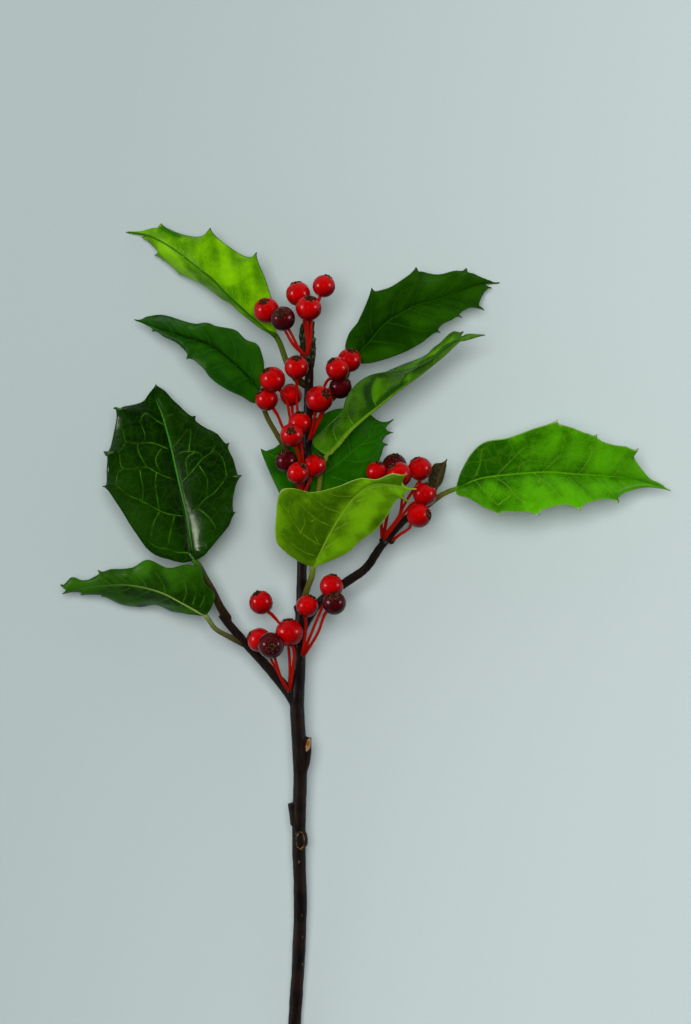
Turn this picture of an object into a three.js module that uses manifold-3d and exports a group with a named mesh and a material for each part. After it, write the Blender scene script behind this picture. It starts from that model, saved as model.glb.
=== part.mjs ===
// A cut sprig of holly lying on a table, in millimetres, +Z up.
//
// The main stem runs along +Y. It rests on a small flat near its cut end, where the origin is, and
// on the tips of the two uppermost leaves, which hold the rest of the sprig clear of the surface.
// Each leaf is one piece with its stalk, and each bunch of berries is one piece with its stalks.

import * as THREE from "three";
import { mergeVertices } from "three/addons/utils/BufferGeometryUtils.js";
import Module from "manifold-3d";

const wasm = await Module();
wasm.setup();

// ---------------------------------------------------------------- driving dimensions

const SEAT_GAP = 0.3; // between a leaf's or berry's stalk and the bark that it grows from

const BLADE_ROWS = 25; // rows of faces from the base of a blade to its tip
const BLADE_THICKNESS = 0.7;
const RIB_DEPTH = 0.5; // how far the midrib stands out under the blade at its base
const BLADE_DOME = 0.9; // how far each half of a blade arches between midrib and edge
const DOME_WIDTH = 5; // a half narrower than this arches less
const SPINE_LENGTH = 2.2; // the stretch of edge that narrows into a spine
const TIP_LENGTH = 7; // the same at the leaf's own tip
const SPINE_LEAN = [1.3, 0.6]; // radians between a spine and the midrib, at the base and at the tip
const STALK_RADII = [1.2, 0.9, 0.8, 0.8]; // a leaf's stalk, from the stem to the blade
const STALK_STEPS = 7;
const STALK_SIDES = 6;

const PEDICEL_RADII = [0.7, 0.55, 0.6, 0.85]; // a berry's stalk, from the knob to the berry
const PEDICEL_STEPS = 5;
const PEDICEL_SIDES = 4;
const PEDICEL_REACH = [0.85, 1.25]; // where it ends in the berry and where it comes in line, in radii
const KNOB_RADIUS = 1.5; // where the pedicels of one bunch meet
const CROWN_RADII = [1.25, 0.6]; // the dry star left by the flower, at its points and between them
const CROWN_LOBES = 5;
const CROWN_THICKNESS = 0.8;
const CROWN_SINK = 0.5; // how much of the star's thickness lies in the skin

const WOOD_SIDES = 8;
const STUMP_SIDES = 7;
const NODE_RADIUS = { stem: 2.1, twig: 1.7 }; // the swelling under each leaf's stalk
const BALL_SEGMENTS = { berry: 8, knob: 7 };
const BALL_RINGS = 0.65; // rings of faces for each segment
const TABLE_SIZE = 800; // the block that trims whatever rests on the surface

const BARK = { color: 0x2a211d, roughness: 0.5 };
const BERRY_SKIN = { color: 0xb40a0c, roughness: 0.25 };
const LEAF_ROUGHNESS = 0.45;

// ---------------------------------------------------------------- the wood

// Centreline points, with the radius at even steps along the length.
const MAIN_STEM = {
  path: [
    [0.5, -14, 2.1], [0.5, 0, 1.95], [0.5, 11, 2.2], [1, 25, 3.9], [2.5, 50, 6.7], [3, 67, 8.5],
    [2.5, 88, 11], [3, 113, 13.4], [2, 133, 15.4], [2.7, 148, 16.5], [3.5, 172, 19], [4, 195, 21.5],
    [5, 210, 23], [5.5, 225, 24.5], [6, 238, 25.6], [6.3, 252, 27], [6.6, 261, 27.9],
  ],
  radii: [2.3, 2.2, 2.2, 2.2, 2.2, 2.3, 2.5, 2.2, 1.7, 1.65, 1.6, 1.55, 1.2],
  steps: 24,
};
const LEFT_TWIG = {
  path: [
    [2, 133, 15.4], [-0.5, 137, 15.5], [-8.5, 146.5, 15.5], [-14.5, 153, 15.5], [-19, 158, 15.2],
    [-23.5, 163.5, 15],
  ],
  radii: [2.1, 1.8, 1.65, 1.55, 1.5, 1.3],
  steps: 6,
};
const RIGHT_TWIG = {
  path: [
    [3.4, 158, 17.3], [6.5, 163.5, 18], [10.5, 168.5, 18.6], [18, 174, 19.3], [25, 179, 20],
    [29.5, 185.5, 20.1], [34.5, 191.5, 20.2], [39, 196, 20.2], [42, 198, 20.2],
  ],
  radii: [1.65, 1.6, 1.5, 1.5, 1.45, 1.35, 1.25, 1.15],
  steps: 10,
};
// Stumps of lost side shoots, bud scales and old scars: short tubes grown out of the stem.
const STUMPS = [
  { path: [[3, 116, 13.6], [6.2, 121, 15]], radii: [2.2, 1.6] },
  { path: [[2.5, 97, 11.6], [-0.9, 101.5, 12.6]], radii: [2.3, 1.2] },
  { path: [[3.2, 86, 11.2], [3.2, 90, 11.7]], radii: [2.4, 2.3] },
  { path: [[3.2, 163, 18.2], [1.4, 166.5, 18.8]], radii: [1.5, 0.8] },
  { path: [[6, 251, 27], [3.6, 257.5, 27.9]], radii: [1.2, 0.6] },
  { path: [[6.4, 249, 26.8], [7.9, 254.5, 27.2]], radii: [1.3, 0.6] },
];

// ---------------------------------------------------------------- the leaves

// A leaf lies in its own frame: +X from the base of the blade towards the tip, +Y to the left,
// +Z up. Its edges run from base to tip through bends, where they stay smooth, and spines.
const bend = (along, out, up) => ({ point: new THREE.Vector3(along, out, up), spine: false });
const spine = (along, out, up) => ({ point: new THREE.Vector3(along, out, up), spine: true });

const LEAVES = [
  {
    name: "leaf_upper_left",
    color: 0x6f9a12,
    base: [-5, 256, 22],
    heading: 145,
    stalkScale: 1.15,
    stalk: [[-3, 1.5, 0.5], [-8, 5, 2], [-13, 7.5, 3], [-18.5, 7.5, 3.5]],
    midrib: [
      [9, -0.5, 0.5], [20.5, -2, -0.5], [28.5, -3.5, -2], [35.5, -4, -4.5], [42, -4.5, -8],
      [50, -4.5, -13], [56, -3.5, -17.5], [62.5, -0.5, -22],
    ],
    left: [
      bend(1.5, 0, -1.5), bend(9, -0.5, -8), bend(16.5, -1, -12), bend(23, -0.5, -14.5),
      spine(30.5, -0.5, -16), spine(39.5, 1, -17.5), spine(50, 0.5, -19.5), bend(49, -1, -19),
      spine(57, -2, -21), bend(55, -4, -20),
    ],
    right: [
      bend(5, -6.5, -1), bend(13, -13, -2.5), spine(21.5, -19.5, -4), bend(25, -16, -8),
      spine(39, -17.5, -7.5), bend(42, -12, -12.5), spine(54, -9.5, -15), bend(56, -6, -18),
    ],
  },
  {
    name: "leaf_left",
    color: 0x244d18,
    base: [-10.5, 238.5, 19],
    heading: 150,
    stalk: [[-2.5, 2.5, 0.5], [-6.5, 6.5, 1], [-15, 11.5, 2], [-20.5, 14.5, 2.5], [-28, 18, 4]],
    midrib: [
      [6, -2, 0.5], [12.5, -3.5, 1], [19, -4.5, 1], [23, -4.5, 0], [30, -3, -2], [37, -1.5, -5],
      [43.5, -0.5, -8.5], [48.5, 0.5, -11],
    ],
    left: [
      bend(-1, 4.5, 1), bend(4, 5, 4), bend(9, 5.5, 5.5), bend(15.5, 5, 5), bend(20.5, 3, 3),
      spine(26, 3.5, 1), bend(30, 0.5, -1.5), bend(36.5, 0.5, -4.5), spine(41, 1, -7.5),
      bend(45, 0, -9.5),
    ],
    right: [
      bend(2.5, -7.5, 4), bend(5.5, -11, 7), bend(8, -12.5, 8.5), bend(12, -12, 7.5),
      bend(16.5, -13, 7), bend(23, -11, 5), bend(26, -10.5, 4.5), bend(29, -8.5, 1.5),
      bend(32, -7.5, 0.5), bend(40.5, -5.5, -4), bend(45, -2.5, -8),
    ],
  },
  {
    name: "leaf_left_front",
    color: 0x1c3f12,
    base: [-32.5, 181.5, 17.5],
    heading: 103,
    onTwig: true,
    tipLength: 1,
    stalk: [
      [-2.5, -1.5, -0.5], [-6.5, -2.5, -1.5], [-12, -4, -2.5], [-17, -5, -2.5],
      [-21.5, -6.5, -2.5],
    ],
    midrib: [
      [14.5, -1, -1], [25.5, -1, -2], [39.5, -1, -3.5], [49.5, -0.5, -5], [56.5, 0.5, -7],
      [60.5, -0.5, -10.5],
    ],
    left: [
      bend(0.5, 5, 1), bend(5, 12.5, 2.5), bend(14, 17, 3), bend(24, 20.5, 3), spine(31, 24, 3),
      bend(36, 21.5, 0.5), spine(42, 21, 2.5), bend(47.5, 16.5, -0.5), spine(56, 14.5, -0.5),
      bend(55.5, 11, -3), bend(55.5, 5, -5), bend(57.5, 2.5, -6),
    ],
    right: [
      bend(0.5, -2.5, 1), bend(4, -8, 2.5), bend(8.5, -14, 3.5), spine(12.5, -17.5, 3.5),
      bend(18.5, -18, 1), spine(24, -22, 3), bend(30, -20.5, 1), spine(35.5, -20.5, 1),
      bend(39.5, -17, -1), bend(44, -12, -3), spine(47, -11.5, -3), bend(52.5, -6, -5),
      bend(57.5, -3, -7),
    ],
  },
  {
    name: "leaf_lower_left",
    color: 0x3a6418,
    base: [-28.5, 163, 20.5],
    heading: 171,
    onTwig: true,
    tipLength: 1.5,
    stalk: [[-1.5, 1.5, -1], [-4, 4, -2.5], [-9.5, 6, -4.5], [-16, 8, -5.5]],
    midrib: [
      [8.5, -3, 1], [14.5, -5, 0.5], [21, -6, -1], [27.5, -6, -3], [33.5, -5, -5.5],
      [41.5, -3, -9], [49, 0.5, -12.5],
    ],
    left: [
      bend(5.5, 0, -3.5), bend(11, 0.5, -7.5), bend(17, -0.5, -10.5), bend(23, 1, -12.5),
      bend(29, 1, -13.5), spine(36, -0.5, -13.5), bend(35.5, -1.5, -13), spine(43, 0, -14),
      bend(42, -1.5, -13.5), bend(46.5, -1, -13),
    ],
    right: [
      bend(-1.5, -3.5, 0.5), bend(-2, -7.5, 1), bend(2, -11, 1.5), bend(4, -15.5, 2),
      bend(9, -16, 1.5), bend(15, -14, 0.5), bend(22, -15.5, -0.5), bend(27, -12, -2.5),
      bend(33.5, -10.5, -4.5), spine(38, -9.5, -5.5), bend(39.5, -6.5, -7.5), bend(43, -5, -9.5),
      bend(46.5, -5.5, -10), spine(50, -2.5, -11.5), bend(48, -2, -11.5),
    ],
  },
  {
    name: "leaf_upper_right",
    color: 0x234d14,
    base: [19.5, 247, 20.5],
    heading: 29,
    stalk: [[-3, -3.5, 0.5], [-7.5, -6.5, 1], [-13.5, -8, 1.5], [-20, -8, 4.5]],
    midrib: [
      [3.5, 1.5, 0], [8.5, 3, 0], [16.5, 6, -1], [23, 6.5, -2.5], [29, 6.5, -4.5], [34.5, 5, -7],
      [42.5, 4, -11], [50.5, 3, -16], [58, 0, -20.5],
    ],
    left: [
      bend(1.5, 5.5, 2), bend(5, 9, 3), bend(9.5, 11, 4), spine(18.5, 18.5, 4.5),
      bend(22.5, 16, 2.5), bend(29, 16, 1), spine(35, 17.5, -0.5), bend(36.5, 15, -3),
      bend(40.5, 12, -5.5), bend(46, 10.5, -7.5), spine(50, 9.5, -10), bend(51.5, 6.5, -13),
      bend(55, 2.5, -17.5),
    ],
    right: [
      bend(7.5, -3.5, 1), bend(18, -5.5, 1), bend(24, -5.5, 0), spine(31.5, -5.5, -2),
      bend(33, -3.5, -3.5), bend(36.5, -3.5, -4.5), spine(40.5, -4.5, -6), bend(40.5, -3, -7),
      bend(45, -3, -8.5), spine(48.5, -6, -10.5), bend(48, -3, -11.5), spine(54.5, -0.5, -16.5),
      bend(53, 2, -16.5),
    ],
  },
  {
    name: "leaf_curled",
    color: 0x35661a,
    base: [12, 216, 24.5],
    heading: 38,
    tipLength: 2,
    stalk: [
      [-2.5, -1.5, -0.5], [-6, -4, -1], [-9, -7, -2], [-14, -11.5, -2.5], [-18.5, -16.5, -3],
      [-25, -19, -4],
    ],
    midrib: [
      [4, 1, 1], [10.5, 2.5, 3], [17.5, 3, 4.5], [24, 3, 5.5], [33, 3, 6], [42.5, 2.5, 5],
      [52, 2.5, 3], [58.5, 3, 1], [62, 2.5, -0.5], [66.5, -0.5, -2.5],
    ],
    left: [
      bend(-0.5, 4, -2.5), bend(9.5, 7.5, -4), bend(21, 10, -4.5), bend(30.5, 10.5, -4.5),
      bend(39, 8.5, -4.5), bend(46, 6.5, -4), bend(52, 6.5, -3.5), bend(58.5, 7, -3),
      spine(61.5, 5, -2.5), bend(58.5, 4, -2), bend(61.5, 3.5, -1.5),
    ],
    right: [
      bend(-1, 6.5, 4.5), bend(5, 7.5, 8.5), bend(13, 8.5, 12.5), bend(17, 11, 15.5),
      bend(22, 12.5, 17), bend(27.5, 12, 17.5), bend(33.5, 9, 16.5), bend(38.5, 6, 14.5),
      bend(46.5, 4, 10.5), bend(52.5, 4.5, 6.5), bend(57, 4, 3), bend(59.5, 2.5, 0),
    ],
  },
  {
    name: "leaf_behind",
    color: 0x1e4a14,
    base: [-2, 199, 17.5],
    heading: 40,
    tipLength: 2,
    stalk: [[-1, -2, 0.5], [-1.5, -6, 1.5], [-1.5, -11.5, 3.5]],
    midrib: [
      [5.5, 0, 0], [13.5, 0.5, -0.5], [23, 0, -2], [32.5, 0, -4], [41, -0.5, -6.5],
      [47, -0.5, -8.5],
    ],
    left: [
      bend(2, 5.5, 0), bend(3.5, 11.5, -0.5), spine(6.5, 20.5, -1.5), bend(9, 18, -2),
      bend(12.5, 17.5, -2), bend(21, 17.5, -2.5), bend(29, 16, -3.5), bend(34, 14.5, -3.5),
      bend(38, 11.5, -4.5), bend(41.5, 6.5, -6.5), bend(42.5, 2.5, -7.5), bend(44, 0.5, -8),
    ],
    right: [
      bend(0, -6.5, 0.5), bend(7, -12.5, 0), bend(16.5, -15.5, -1), spine(25.5, -16, -2),
      bend(31.5, -10, -4.5), bend(36, -7, -5.5), spine(40, -6, -6), bend(39.5, -3.5, -6.5),
      spine(44, -4, -7.5), bend(42.5, -0.5, -7.5),
    ],
  },
  {
    name: "leaf_front",
    color: 0x86a82a,
    base: [7.5, 179.5, 25.5],
    heading: 37,
    stalkScale: 1.15,
    tipLength: 3,
    stalk: [[-2.5, -2.5, -2], [-5, -4, -3.5], [-8, -6, -5], [-11, -8, -7]],
    midrib: [
      [5, 2.5, 2.5], [11, 5.5, 5.5], [20, 9, 10.5], [27, 10.5, 14.5], [32.5, 10, 18],
      [37, 6, 21], [42.5, 0, 24.5],
    ],
    left: [
      bend(-2.5, 4, 1.5), bend(-4.5, 10.5, 4), bend(-4.5, 14.5, 5.5), bend(0.5, 21, 8.5),
      bend(6.5, 26.5, 11.5), bend(10, 25, 12.5), bend(14.5, 20, 13), bend(22, 16.5, 15),
      bend(30, 14, 18), bend(34, 10.5, 19.5), bend(39, 9, 22), spine(43, 6, 23.5),
      bend(40.5, 5.5, 23), bend(39.5, 3.5, 23),
    ],
    right: [
      bend(5, -1.5, 1.5), bend(12, -3, 3.5), bend(17, -2.5, 6), bend(24, -2.5, 10.5),
      bend(30, -1, 14.5), bend(34.5, 1, 18), bend(36.5, 1, 19.5), spine(38, -2, 21),
      bend(37.5, 1, 21),
    ],
  },
  {
    name: "leaf_right",
    color: 0x4a8a18,
    base: [55, 205.5, 21],
    heading: -1,
    onTwig: true,
    tipLength: 3,
    stalk: [[-4.5, -2, -0.5], [-8.5, -5, -0.5], [-12.5, -8, -1]],
    midrib: [
      [4, 2, 1.5], [8, 3.5, 2], [14, 4.5, 2.5], [22.5, 5.5, 2], [31, 6, 1], [39.5, 5.5, -1],
      [51.5, 5, -4.5], [63.5, 3.5, -8.5], [72.5, 0.5, -12],
    ],
    left: [
      bend(1.5, 5.5, 2.5), bend(5, 12, 5), bend(9, 15.5, 6.5), bend(16.5, 17, 7),
      bend(24.5, 20, 7), spine(33, 23.5, 7.5), bend(39, 20.5, 5), bend(43.5, 19, 3.5),
      spine(46.5, 19, 4), bend(47.5, 17, 3), bend(52, 15.5, 1), bend(56, 15, 0),
      spine(60.5, 14.5, -0.5), bend(59, 12, -2), bend(62, 7.5, -5), bend(65, 4.5, -7.5),
      bend(68.5, 3, -9.5),
    ],
    right: [
      bend(0.5, -2, 0.5), bend(4, -3, 2), bend(9, -6, 5), spine(14.5, -9, 7),
      bend(20.5, -7.5, 6.5), spine(27, -9, 8), bend(34.5, -5, 5.5), spine(41, -7, 5.5),
      bend(47.5, -3, 1), spine(54, -4, 0), bend(54.5, -1.5, -2.5), bend(58.5, 0.5, -5),
      bend(63.5, 1.5, -8), bend(67.5, 1.5, -10),
    ],
  },
  {
    name: "dry_bract",
    color: 0x2a2418,
    base: [48.5, 205.5, 17.5],
    heading: 70,
    onTwig: true,
    stalkScale: 0.6,
    rows: 8,
    stalk: [[-3.5, 0.5, 0], [-7, 2, -0.5], [-9.5, 3.5, 2]],
    midrib: [[3, 0.5, 0], [7, 0.5, -0.5], [10.5, 0, -1.5]],
    left: [bend(1, 3, -0.5), bend(7, 3.5, -1)],
    right: [bend(2.5, -1, -0.5), bend(8, -0.5, -1)],
  },
];

// ---------------------------------------------------------------- the bunches of berries

// A bunch hangs from a knob on the stem. Each berry has its centre, its radius, the way its crown
// points and the points that its stalk passes on the way from the knob.
const BUNCHES = [
  {
    name: "berries_top",
    root: [5.5, 249, 28],
    berries: [
      {
        at: [11, 272.5, 28], radius: 3.8, crown: [0.35, 0.93, -0.1],
        stalk: [[6.5, 254.5, 30], [7, 261, 30.5]],
      },
      {
        at: [2.5, 270, 26.5], radius: 4.1, crown: [-0.28, 0.96, 0.05],
        stalk: [[5.5, 254.5, 29.5], [4.5, 260.5, 29]],
      },
      {
        at: [6, 265, 33], radius: 4.3, crown: [0.1, 0.8, 0.6],
        stalk: [[6, 254, 30], [5.5, 259.5, 31.5]],
      },
      {
        at: [-8, 264.5, 28], radius: 4.3, crown: [-0.25, 0.65, 0.7],
        stalk: [[1, 253, 28], [-3, 259.5, 27]],
      },
      {
        at: [-2.5, 261.5, 34], radius: 4.1, crown: [-0.2, 0.4, 0.9],
        stalk: [[3, 251.5, 29], [0, 257, 30.5]],
      },
    ],
  },
  {
    name: "berries_left",
    root: [4, 218.5, 24.5],
    berries: [
      {
        at: [2, 245.5, 32.5], radius: 4.0, crown: [-0.05, 0.78, 0.6],
        stalk: [[2.5, 228, 25], [2, 236.5, 27]],
      },
      {
        at: [-6, 241.5, 29.5], radius: 4.3, crown: [-0.5, 0.75, 0.4],
        stalk: [[0, 228, 25.5], [-1.5, 235, 27]],
      },
      {
        at: [-8, 235, 25], radius: 3.8, crown: [-0.6, 0.75, 0.25],
        stalk: [[-1.5, 223.5, 23.5], [-4.5, 230, 24]],
      },
      {
        at: [0, 236.5, 22], radius: 3.7, crown: [-0.15, 0.98, -0.1],
        stalk: [[1.5, 224.5, 23], [0.5, 231, 22.5]],
      },
    ],
  },
  {
    name: "berries_right",
    root: [6, 221, 25],
    berries: [
      {
        at: [19.5, 248, 26], radius: 4.0, crown: [0.15, 0.83, 0.5],
        stalk: [[9.5, 229, 25.5], [11.5, 236, 25], [15.5, 242.5, 24.5]],
      },
      {
        at: [15.5, 245, 32.5], radius: 3.9, crown: [-0.55, 0.75, 0.35],
        stalk: [[8.5, 231.5, 26], [10.5, 237.5, 26], [12.5, 241.5, 29]],
      },
      {
        at: [16.5, 239, 28], radius: 3.8, crown: [0.65, 0.6, 0.3],
        stalk: [[9.5, 228, 26], [12.5, 234, 26.5]],
      },
      {
        at: [9.5, 235, 31.5], radius: 4.5, crown: [0.5, 0.42, 0.75],
        stalk: [[7, 225.5, 27], [8, 230, 28.5]],
      },
    ],
  },
  {
    name: "berries_middle",
    root: [4, 202, 23.5],
    berries: [
      {
        at: [3, 227, 29.5], radius: 3.9, crown: [0.05, 0.95, 0.2],
        stalk: [[4, 213.5, 26], [3.5, 221.5, 28]],
      },
      {
        at: [0.5, 223, 36], radius: 3.9, crown: [-0.1, 0.35, 0.93],
        stalk: [[3.5, 212.5, 28.5], [2, 218.5, 32]],
      },
      {
        at: [-1.5, 214.5, 27], radius: 3.7, crown: [-0.45, 0.8, 0.4],
        stalk: [[2.5, 206, 24.5], [0.5, 210.5, 25.5]],
      },
      { at: [2.5, 210.5, 33], radius: 3.7, crown: [0.5, 0.65, 0.55], stalk: [[3, 206.5, 28.5]] },
      {
        at: [8, 213, 28.5], radius: 3.8, crown: [0.5, 0.85, 0.2],
        stalk: [[5, 205, 25.5], [6.5, 208.5, 26.5]],
      },
    ],
  },
  {
    name: "berries_twig",
    root: [30.5, 188, 21.5],
    berries: [
      {
        at: [28.5, 211, 25], radius: 3.5, crown: [0.25, 0.9, 0.3],
        stalk: [[30, 194, 22.5], [29, 202.5, 23.5]],
      },
      {
        at: [34.5, 213, 20.5], radius: 4.2, crown: [0, 0.85, 0.5],
        stalk: [[32, 196, 21.5], [33.5, 203.5, 20.5]],
      },
      {
        at: [36, 210, 29], radius: 4.2, crown: [-0.6, 0.75, 0.3],
        stalk: [[32.5, 191.5, 23], [36, 196.5, 24.5], [37, 202.5, 26]],
      },
      {
        at: [43, 212, 24], radius: 4.0, crown: [-0.5, 0.85, 0],
        stalk: [[35.5, 195.5, 23], [38.5, 201.5, 23], [41.5, 206, 22.5]],
      },
      {
        at: [44.5, 203.5, 25.5], radius: 4.0, crown: [0.35, 0.85, 0.35],
        stalk: [[33.5, 192, 23], [37, 196.5, 24], [40.5, 200.5, 24.5]],
      },
    ],
  },
  {
    name: "berry_twig_low",
    root: [33.5, 188, 20],
    berries: [
      {
        at: [42.5, 196.5, 28.5], radius: 4.1, crown: [0.8, 0.1, 0.5],
        stalk: [[36, 190, 22], [39.5, 192.5, 24.5]],
      },
    ],
  },
  {
    name: "berries_fork",
    root: [-0.5, 137.5, 17],
    berries: [
      {
        at: [-10, 167.5, 20], radius: 4.0, crown: [-0.4, 0.8, 0.4],
        stalk: [[-0.5, 148, 16.5], [-2, 157.5, 17], [-6, 163, 18.5]],
      },
      {
        at: [-10.5, 155, 20.5], radius: 4.1, crown: [-0.85, 0.5, 0.05],
        stalk: [[-4, 143.5, 18], [-7.5, 150.5, 19]],
      },
      {
        at: [-6.5, 153.5, 29], radius: 4.4, crown: [0.1, -0.05, 1],
        stalk: [[-3, 141.5, 19], [-5, 148, 23]],
      },
      {
        at: [-0.5, 157.5, 23.5], radius: 4.7, crown: [-0.15, 0.97, 0.1],
        stalk: [[0.5, 144.5, 19], [1, 151.5, 21]],
      },
    ],
  },
  {
    name: "berries_stem",
    root: [3.5, 149, 18],
    berries: [
      {
        at: [5.5, 166.5, 27], radius: 3.7, crown: [0.45, 0.85, 0.1],
        stalk: [[4.5, 154.5, 20], [5, 161, 23.5]],
      },
      {
        at: [13.5, 173, 24.5], radius: 4.0, crown: [0.15, 0.97, 0.05],
        stalk: [[6.5, 156.5, 20.5], [10.5, 166, 22.5]],
      },
      {
        at: [14.5, 167.5, 30.5], radius: 3.9, crown: [0.1, 0.55, 0.8],
        stalk: [[6, 152.5, 19.5], [9, 157.5, 22], [11.5, 164, 25.5]],
      },
    ],
  },
];

// ---------------------------------------------------------------- solids and meshes

const UP = new THREE.Vector3(0, 0, 1);

const vectors = (points) => points.map((point) => new THREE.Vector3(...point));

// A value read from a list whose entries lie at even steps of t from 0 to 1.
function along(list, t) {
  const place = t * (list.length - 1);
  const first = Math.min(Math.floor(place), list.length - 2);
  return THREE.MathUtils.lerp(list[first], list[first + 1], place - first);
}

function toSolid(geometry) {
  const bare = new THREE.BufferGeometry();
  bare.setAttribute("position", geometry.getAttribute("position"));
  bare.setIndex(geometry.getIndex());
  const merged = mergeVertices(bare, 1e-4);
  return new wasm.Manifold(
    new wasm.Mesh({
      numProp: 3,
      vertProperties: merged.getAttribute("position").array,
      triVerts: new Uint32Array(merged.getIndex().array),
    }),
  );
}

function toGeometry(solid) {
  const { vertProperties, triVerts } = solid.getMesh();
  const geometry = new THREE.BufferGeometry();
  geometry.setAttribute("position", new THREE.BufferAttribute(vertProperties, 3));
  geometry.setIndex(new THREE.BufferAttribute(triVerts, 1));
  geometry.computeVertexNormals();
  return geometry;
}

const join = (solids) => solids.reduce((whole, solid) => whole.add(solid));

// A round tube with closed ends along a smooth curve, its radius read from a list. It can be fatter
// and longer all round by an extra amount.
function tubeSolid(points, radii, steps, sides, extra = 0) {
  const curve = new THREE.CatmullRomCurve3(points, false, "centripetal");
  const frames = curve.computeFrenetFrames(steps);
  const centres = curve.getSpacedPoints(steps);
  centres[0].addScaledVector(curve.getTangentAt(0), -extra);
  centres[steps].addScaledVector(curve.getTangentAt(1), extra);
  const positions = [];
  const faces = [];
  for (let step = 0; step <= steps; step++) {
    const radius = along(radii, step / steps) + extra;
    for (let side = 0; side < sides; side++) {
      const angle = (side / sides) * 2 * Math.PI;
      const rim = centres[step]
        .clone()
        .addScaledVector(frames.normals[step], radius * Math.cos(angle))
        .addScaledVector(frames.binormals[step], radius * Math.sin(angle));
      positions.push(...rim.toArray());
    }
  }
  const start = positions.length / 3;
  positions.push(...centres[0].toArray(), ...centres[steps].toArray());
  for (let side = 0; side < sides; side++) {
    const next = (side + 1) % sides;
    for (let step = 0; step < steps; step++) {
      const low = step * sides;
      const high = low + sides;
      faces.push(low + side, low + next, high + next, low + side, high + next, high + side);
    }
    const last = steps * sides;
    faces.push(start, next, side, start + 1, last + side, last + next);
  }
  const geometry = new THREE.BufferGeometry();
  geometry.setAttribute("position", new THREE.Float32BufferAttribute(positions, 3));
  geometry.setIndex(faces);
  return toSolid(geometry);
}

// A ball with its poles along the axis.
function ballSolid(centre, radius, axis, segments) {
  const geometry = new THREE.SphereGeometry(radius, segments, Math.round(segments * BALL_RINGS));
  geometry.rotateX(Math.PI / 2);
  geometry.applyQuaternion(new THREE.Quaternion().setFromUnitVectors(UP, axis));
  geometry.translate(...centre.toArray());
  return toSolid(geometry);
}

// Everything below the surface that the sprig lies on.
function tableSolid() {
  const table = new THREE.BoxGeometry(TABLE_SIZE, TABLE_SIZE, TABLE_SIZE);
  table.translate(0, 0, -TABLE_SIZE / 2);
  return toSolid(table);
}

// The stem with its twigs, all of it fatter by the given amount.
function woodSolid(extra) {
  const limbs = [MAIN_STEM, LEFT_TWIG, RIGHT_TWIG].map(({ path, radii, steps }) =>
    tubeSolid(vectors(path), radii, steps, WOOD_SIDES, extra),
  );
  const stumps = STUMPS.map(({ path, radii }) =>
    tubeSolid(vectors(path), radii, 1, STUMP_SIDES, extra),
  );
  const nodes = LEAVES.map((leaf) => {
    const root = new THREE.Vector3(...leaf.stalk.at(-1)).applyMatrix4(placement(leaf));
    const radius = leaf.onTwig ? NODE_RADIUS.twig : NODE_RADIUS.stem;
    return ballSolid(root, radius + extra, UP, BALL_SEGMENTS.knob);
  });
  return join([...limbs, ...stumps, ...nodes]);
}

// ---------------------------------------------------------------- leaves

function placement({ base, heading }) {
  const turn = new THREE.Matrix4().makeRotationZ(THREE.MathUtils.degToRad(heading));
  return turn.setPosition(...base);
}

const midribOf = (leaf) =>
  new THREE.CatmullRomCurve3(vectors([[0, 0, 0], ...leaf.midrib]), false, "centripetal");

const rowsOf = (leaf) => leaf.rows ?? BLADE_ROWS;

// How many rows of the blade each stretch of an edge gets: the longest stretch gets the next one.
function shareRows(gaps, rows) {
  const shares = gaps.map(() => 1);
  for (let spare = rows - gaps.length; spare > 0; spare--) {
    const spacing = gaps.map((gap, i) => gap / shares[i]);
    shares[spacing.indexOf(Math.max(...spacing))] += 1;
  }
  return shares;
}

// One edge of a blade as a point for each row, along Bezier arcs. A bend has its handles in line
// with each other. A spine has both back along its own axis, so that the edge narrows to a needle.
function edgeOf(leaf, keys) {
  const midrib = midribOf(leaf);
  const stops = [bend(0, 0, 0), ...keys, spine(...leaf.midrib.at(-1))];
  const gaps = stops.slice(1).map((stop, i) => stop.point.distanceTo(stops[i].point));
  const shares = shareRows(gaps, rowsOf(leaf));
  const firstRow = [0];
  for (const share of shares) {
    firstRow.push(firstRow.at(-1) + share);
  }

  const spineAxis = (i) => {
    const place = firstRow[i] / rowsOf(leaf);
    const forward = midrib.getTangentAt(place);
    if (i === gaps.length) {
      return forward;
    }
    const outward = stops[i].point.clone().sub(midrib.getPointAt(place));
    outward.addScaledVector(forward, -outward.dot(forward)).normalize();
    const lean = THREE.MathUtils.lerp(...SPINE_LEAN, place);
    return outward.multiplyScalar(Math.sin(lean)).addScaledVector(forward, Math.cos(lean));
  };
  // The handle of stop i on the side of a neighbour.
  const handle = (i, neighbour) => {
    const { point, spine: pointed } = stops[i];
    const gap = point.distanceTo(stops[neighbour].point);
    if (pointed) {
      const ownLength = i === gaps.length ? leaf.tipLength ?? TIP_LENGTH : SPINE_LENGTH;
      const reach = Math.min(ownLength, gap * 0.6);
      return point.clone().addScaledVector(spineAxis(i), -reach);
    }
    const chord = stops[i + 1].point.clone().sub(stops[Math.max(i - 1, 0)].point);
    return point.clone().addScaledVector(chord.normalize(), ((neighbour - i) * gap) / 3);
  };

  const points = [];
  shares.forEach((share, i) => {
    const ends = [stops[i].point, stops[i + 1].point];
    const arc = new THREE.CubicBezierCurve3(ends[0], handle(i, i + 1), handle(i + 1, i), ends[1]);
    points.push(...arc.getPoints(share).slice(0, -1));
  });
  return points;
}

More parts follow.
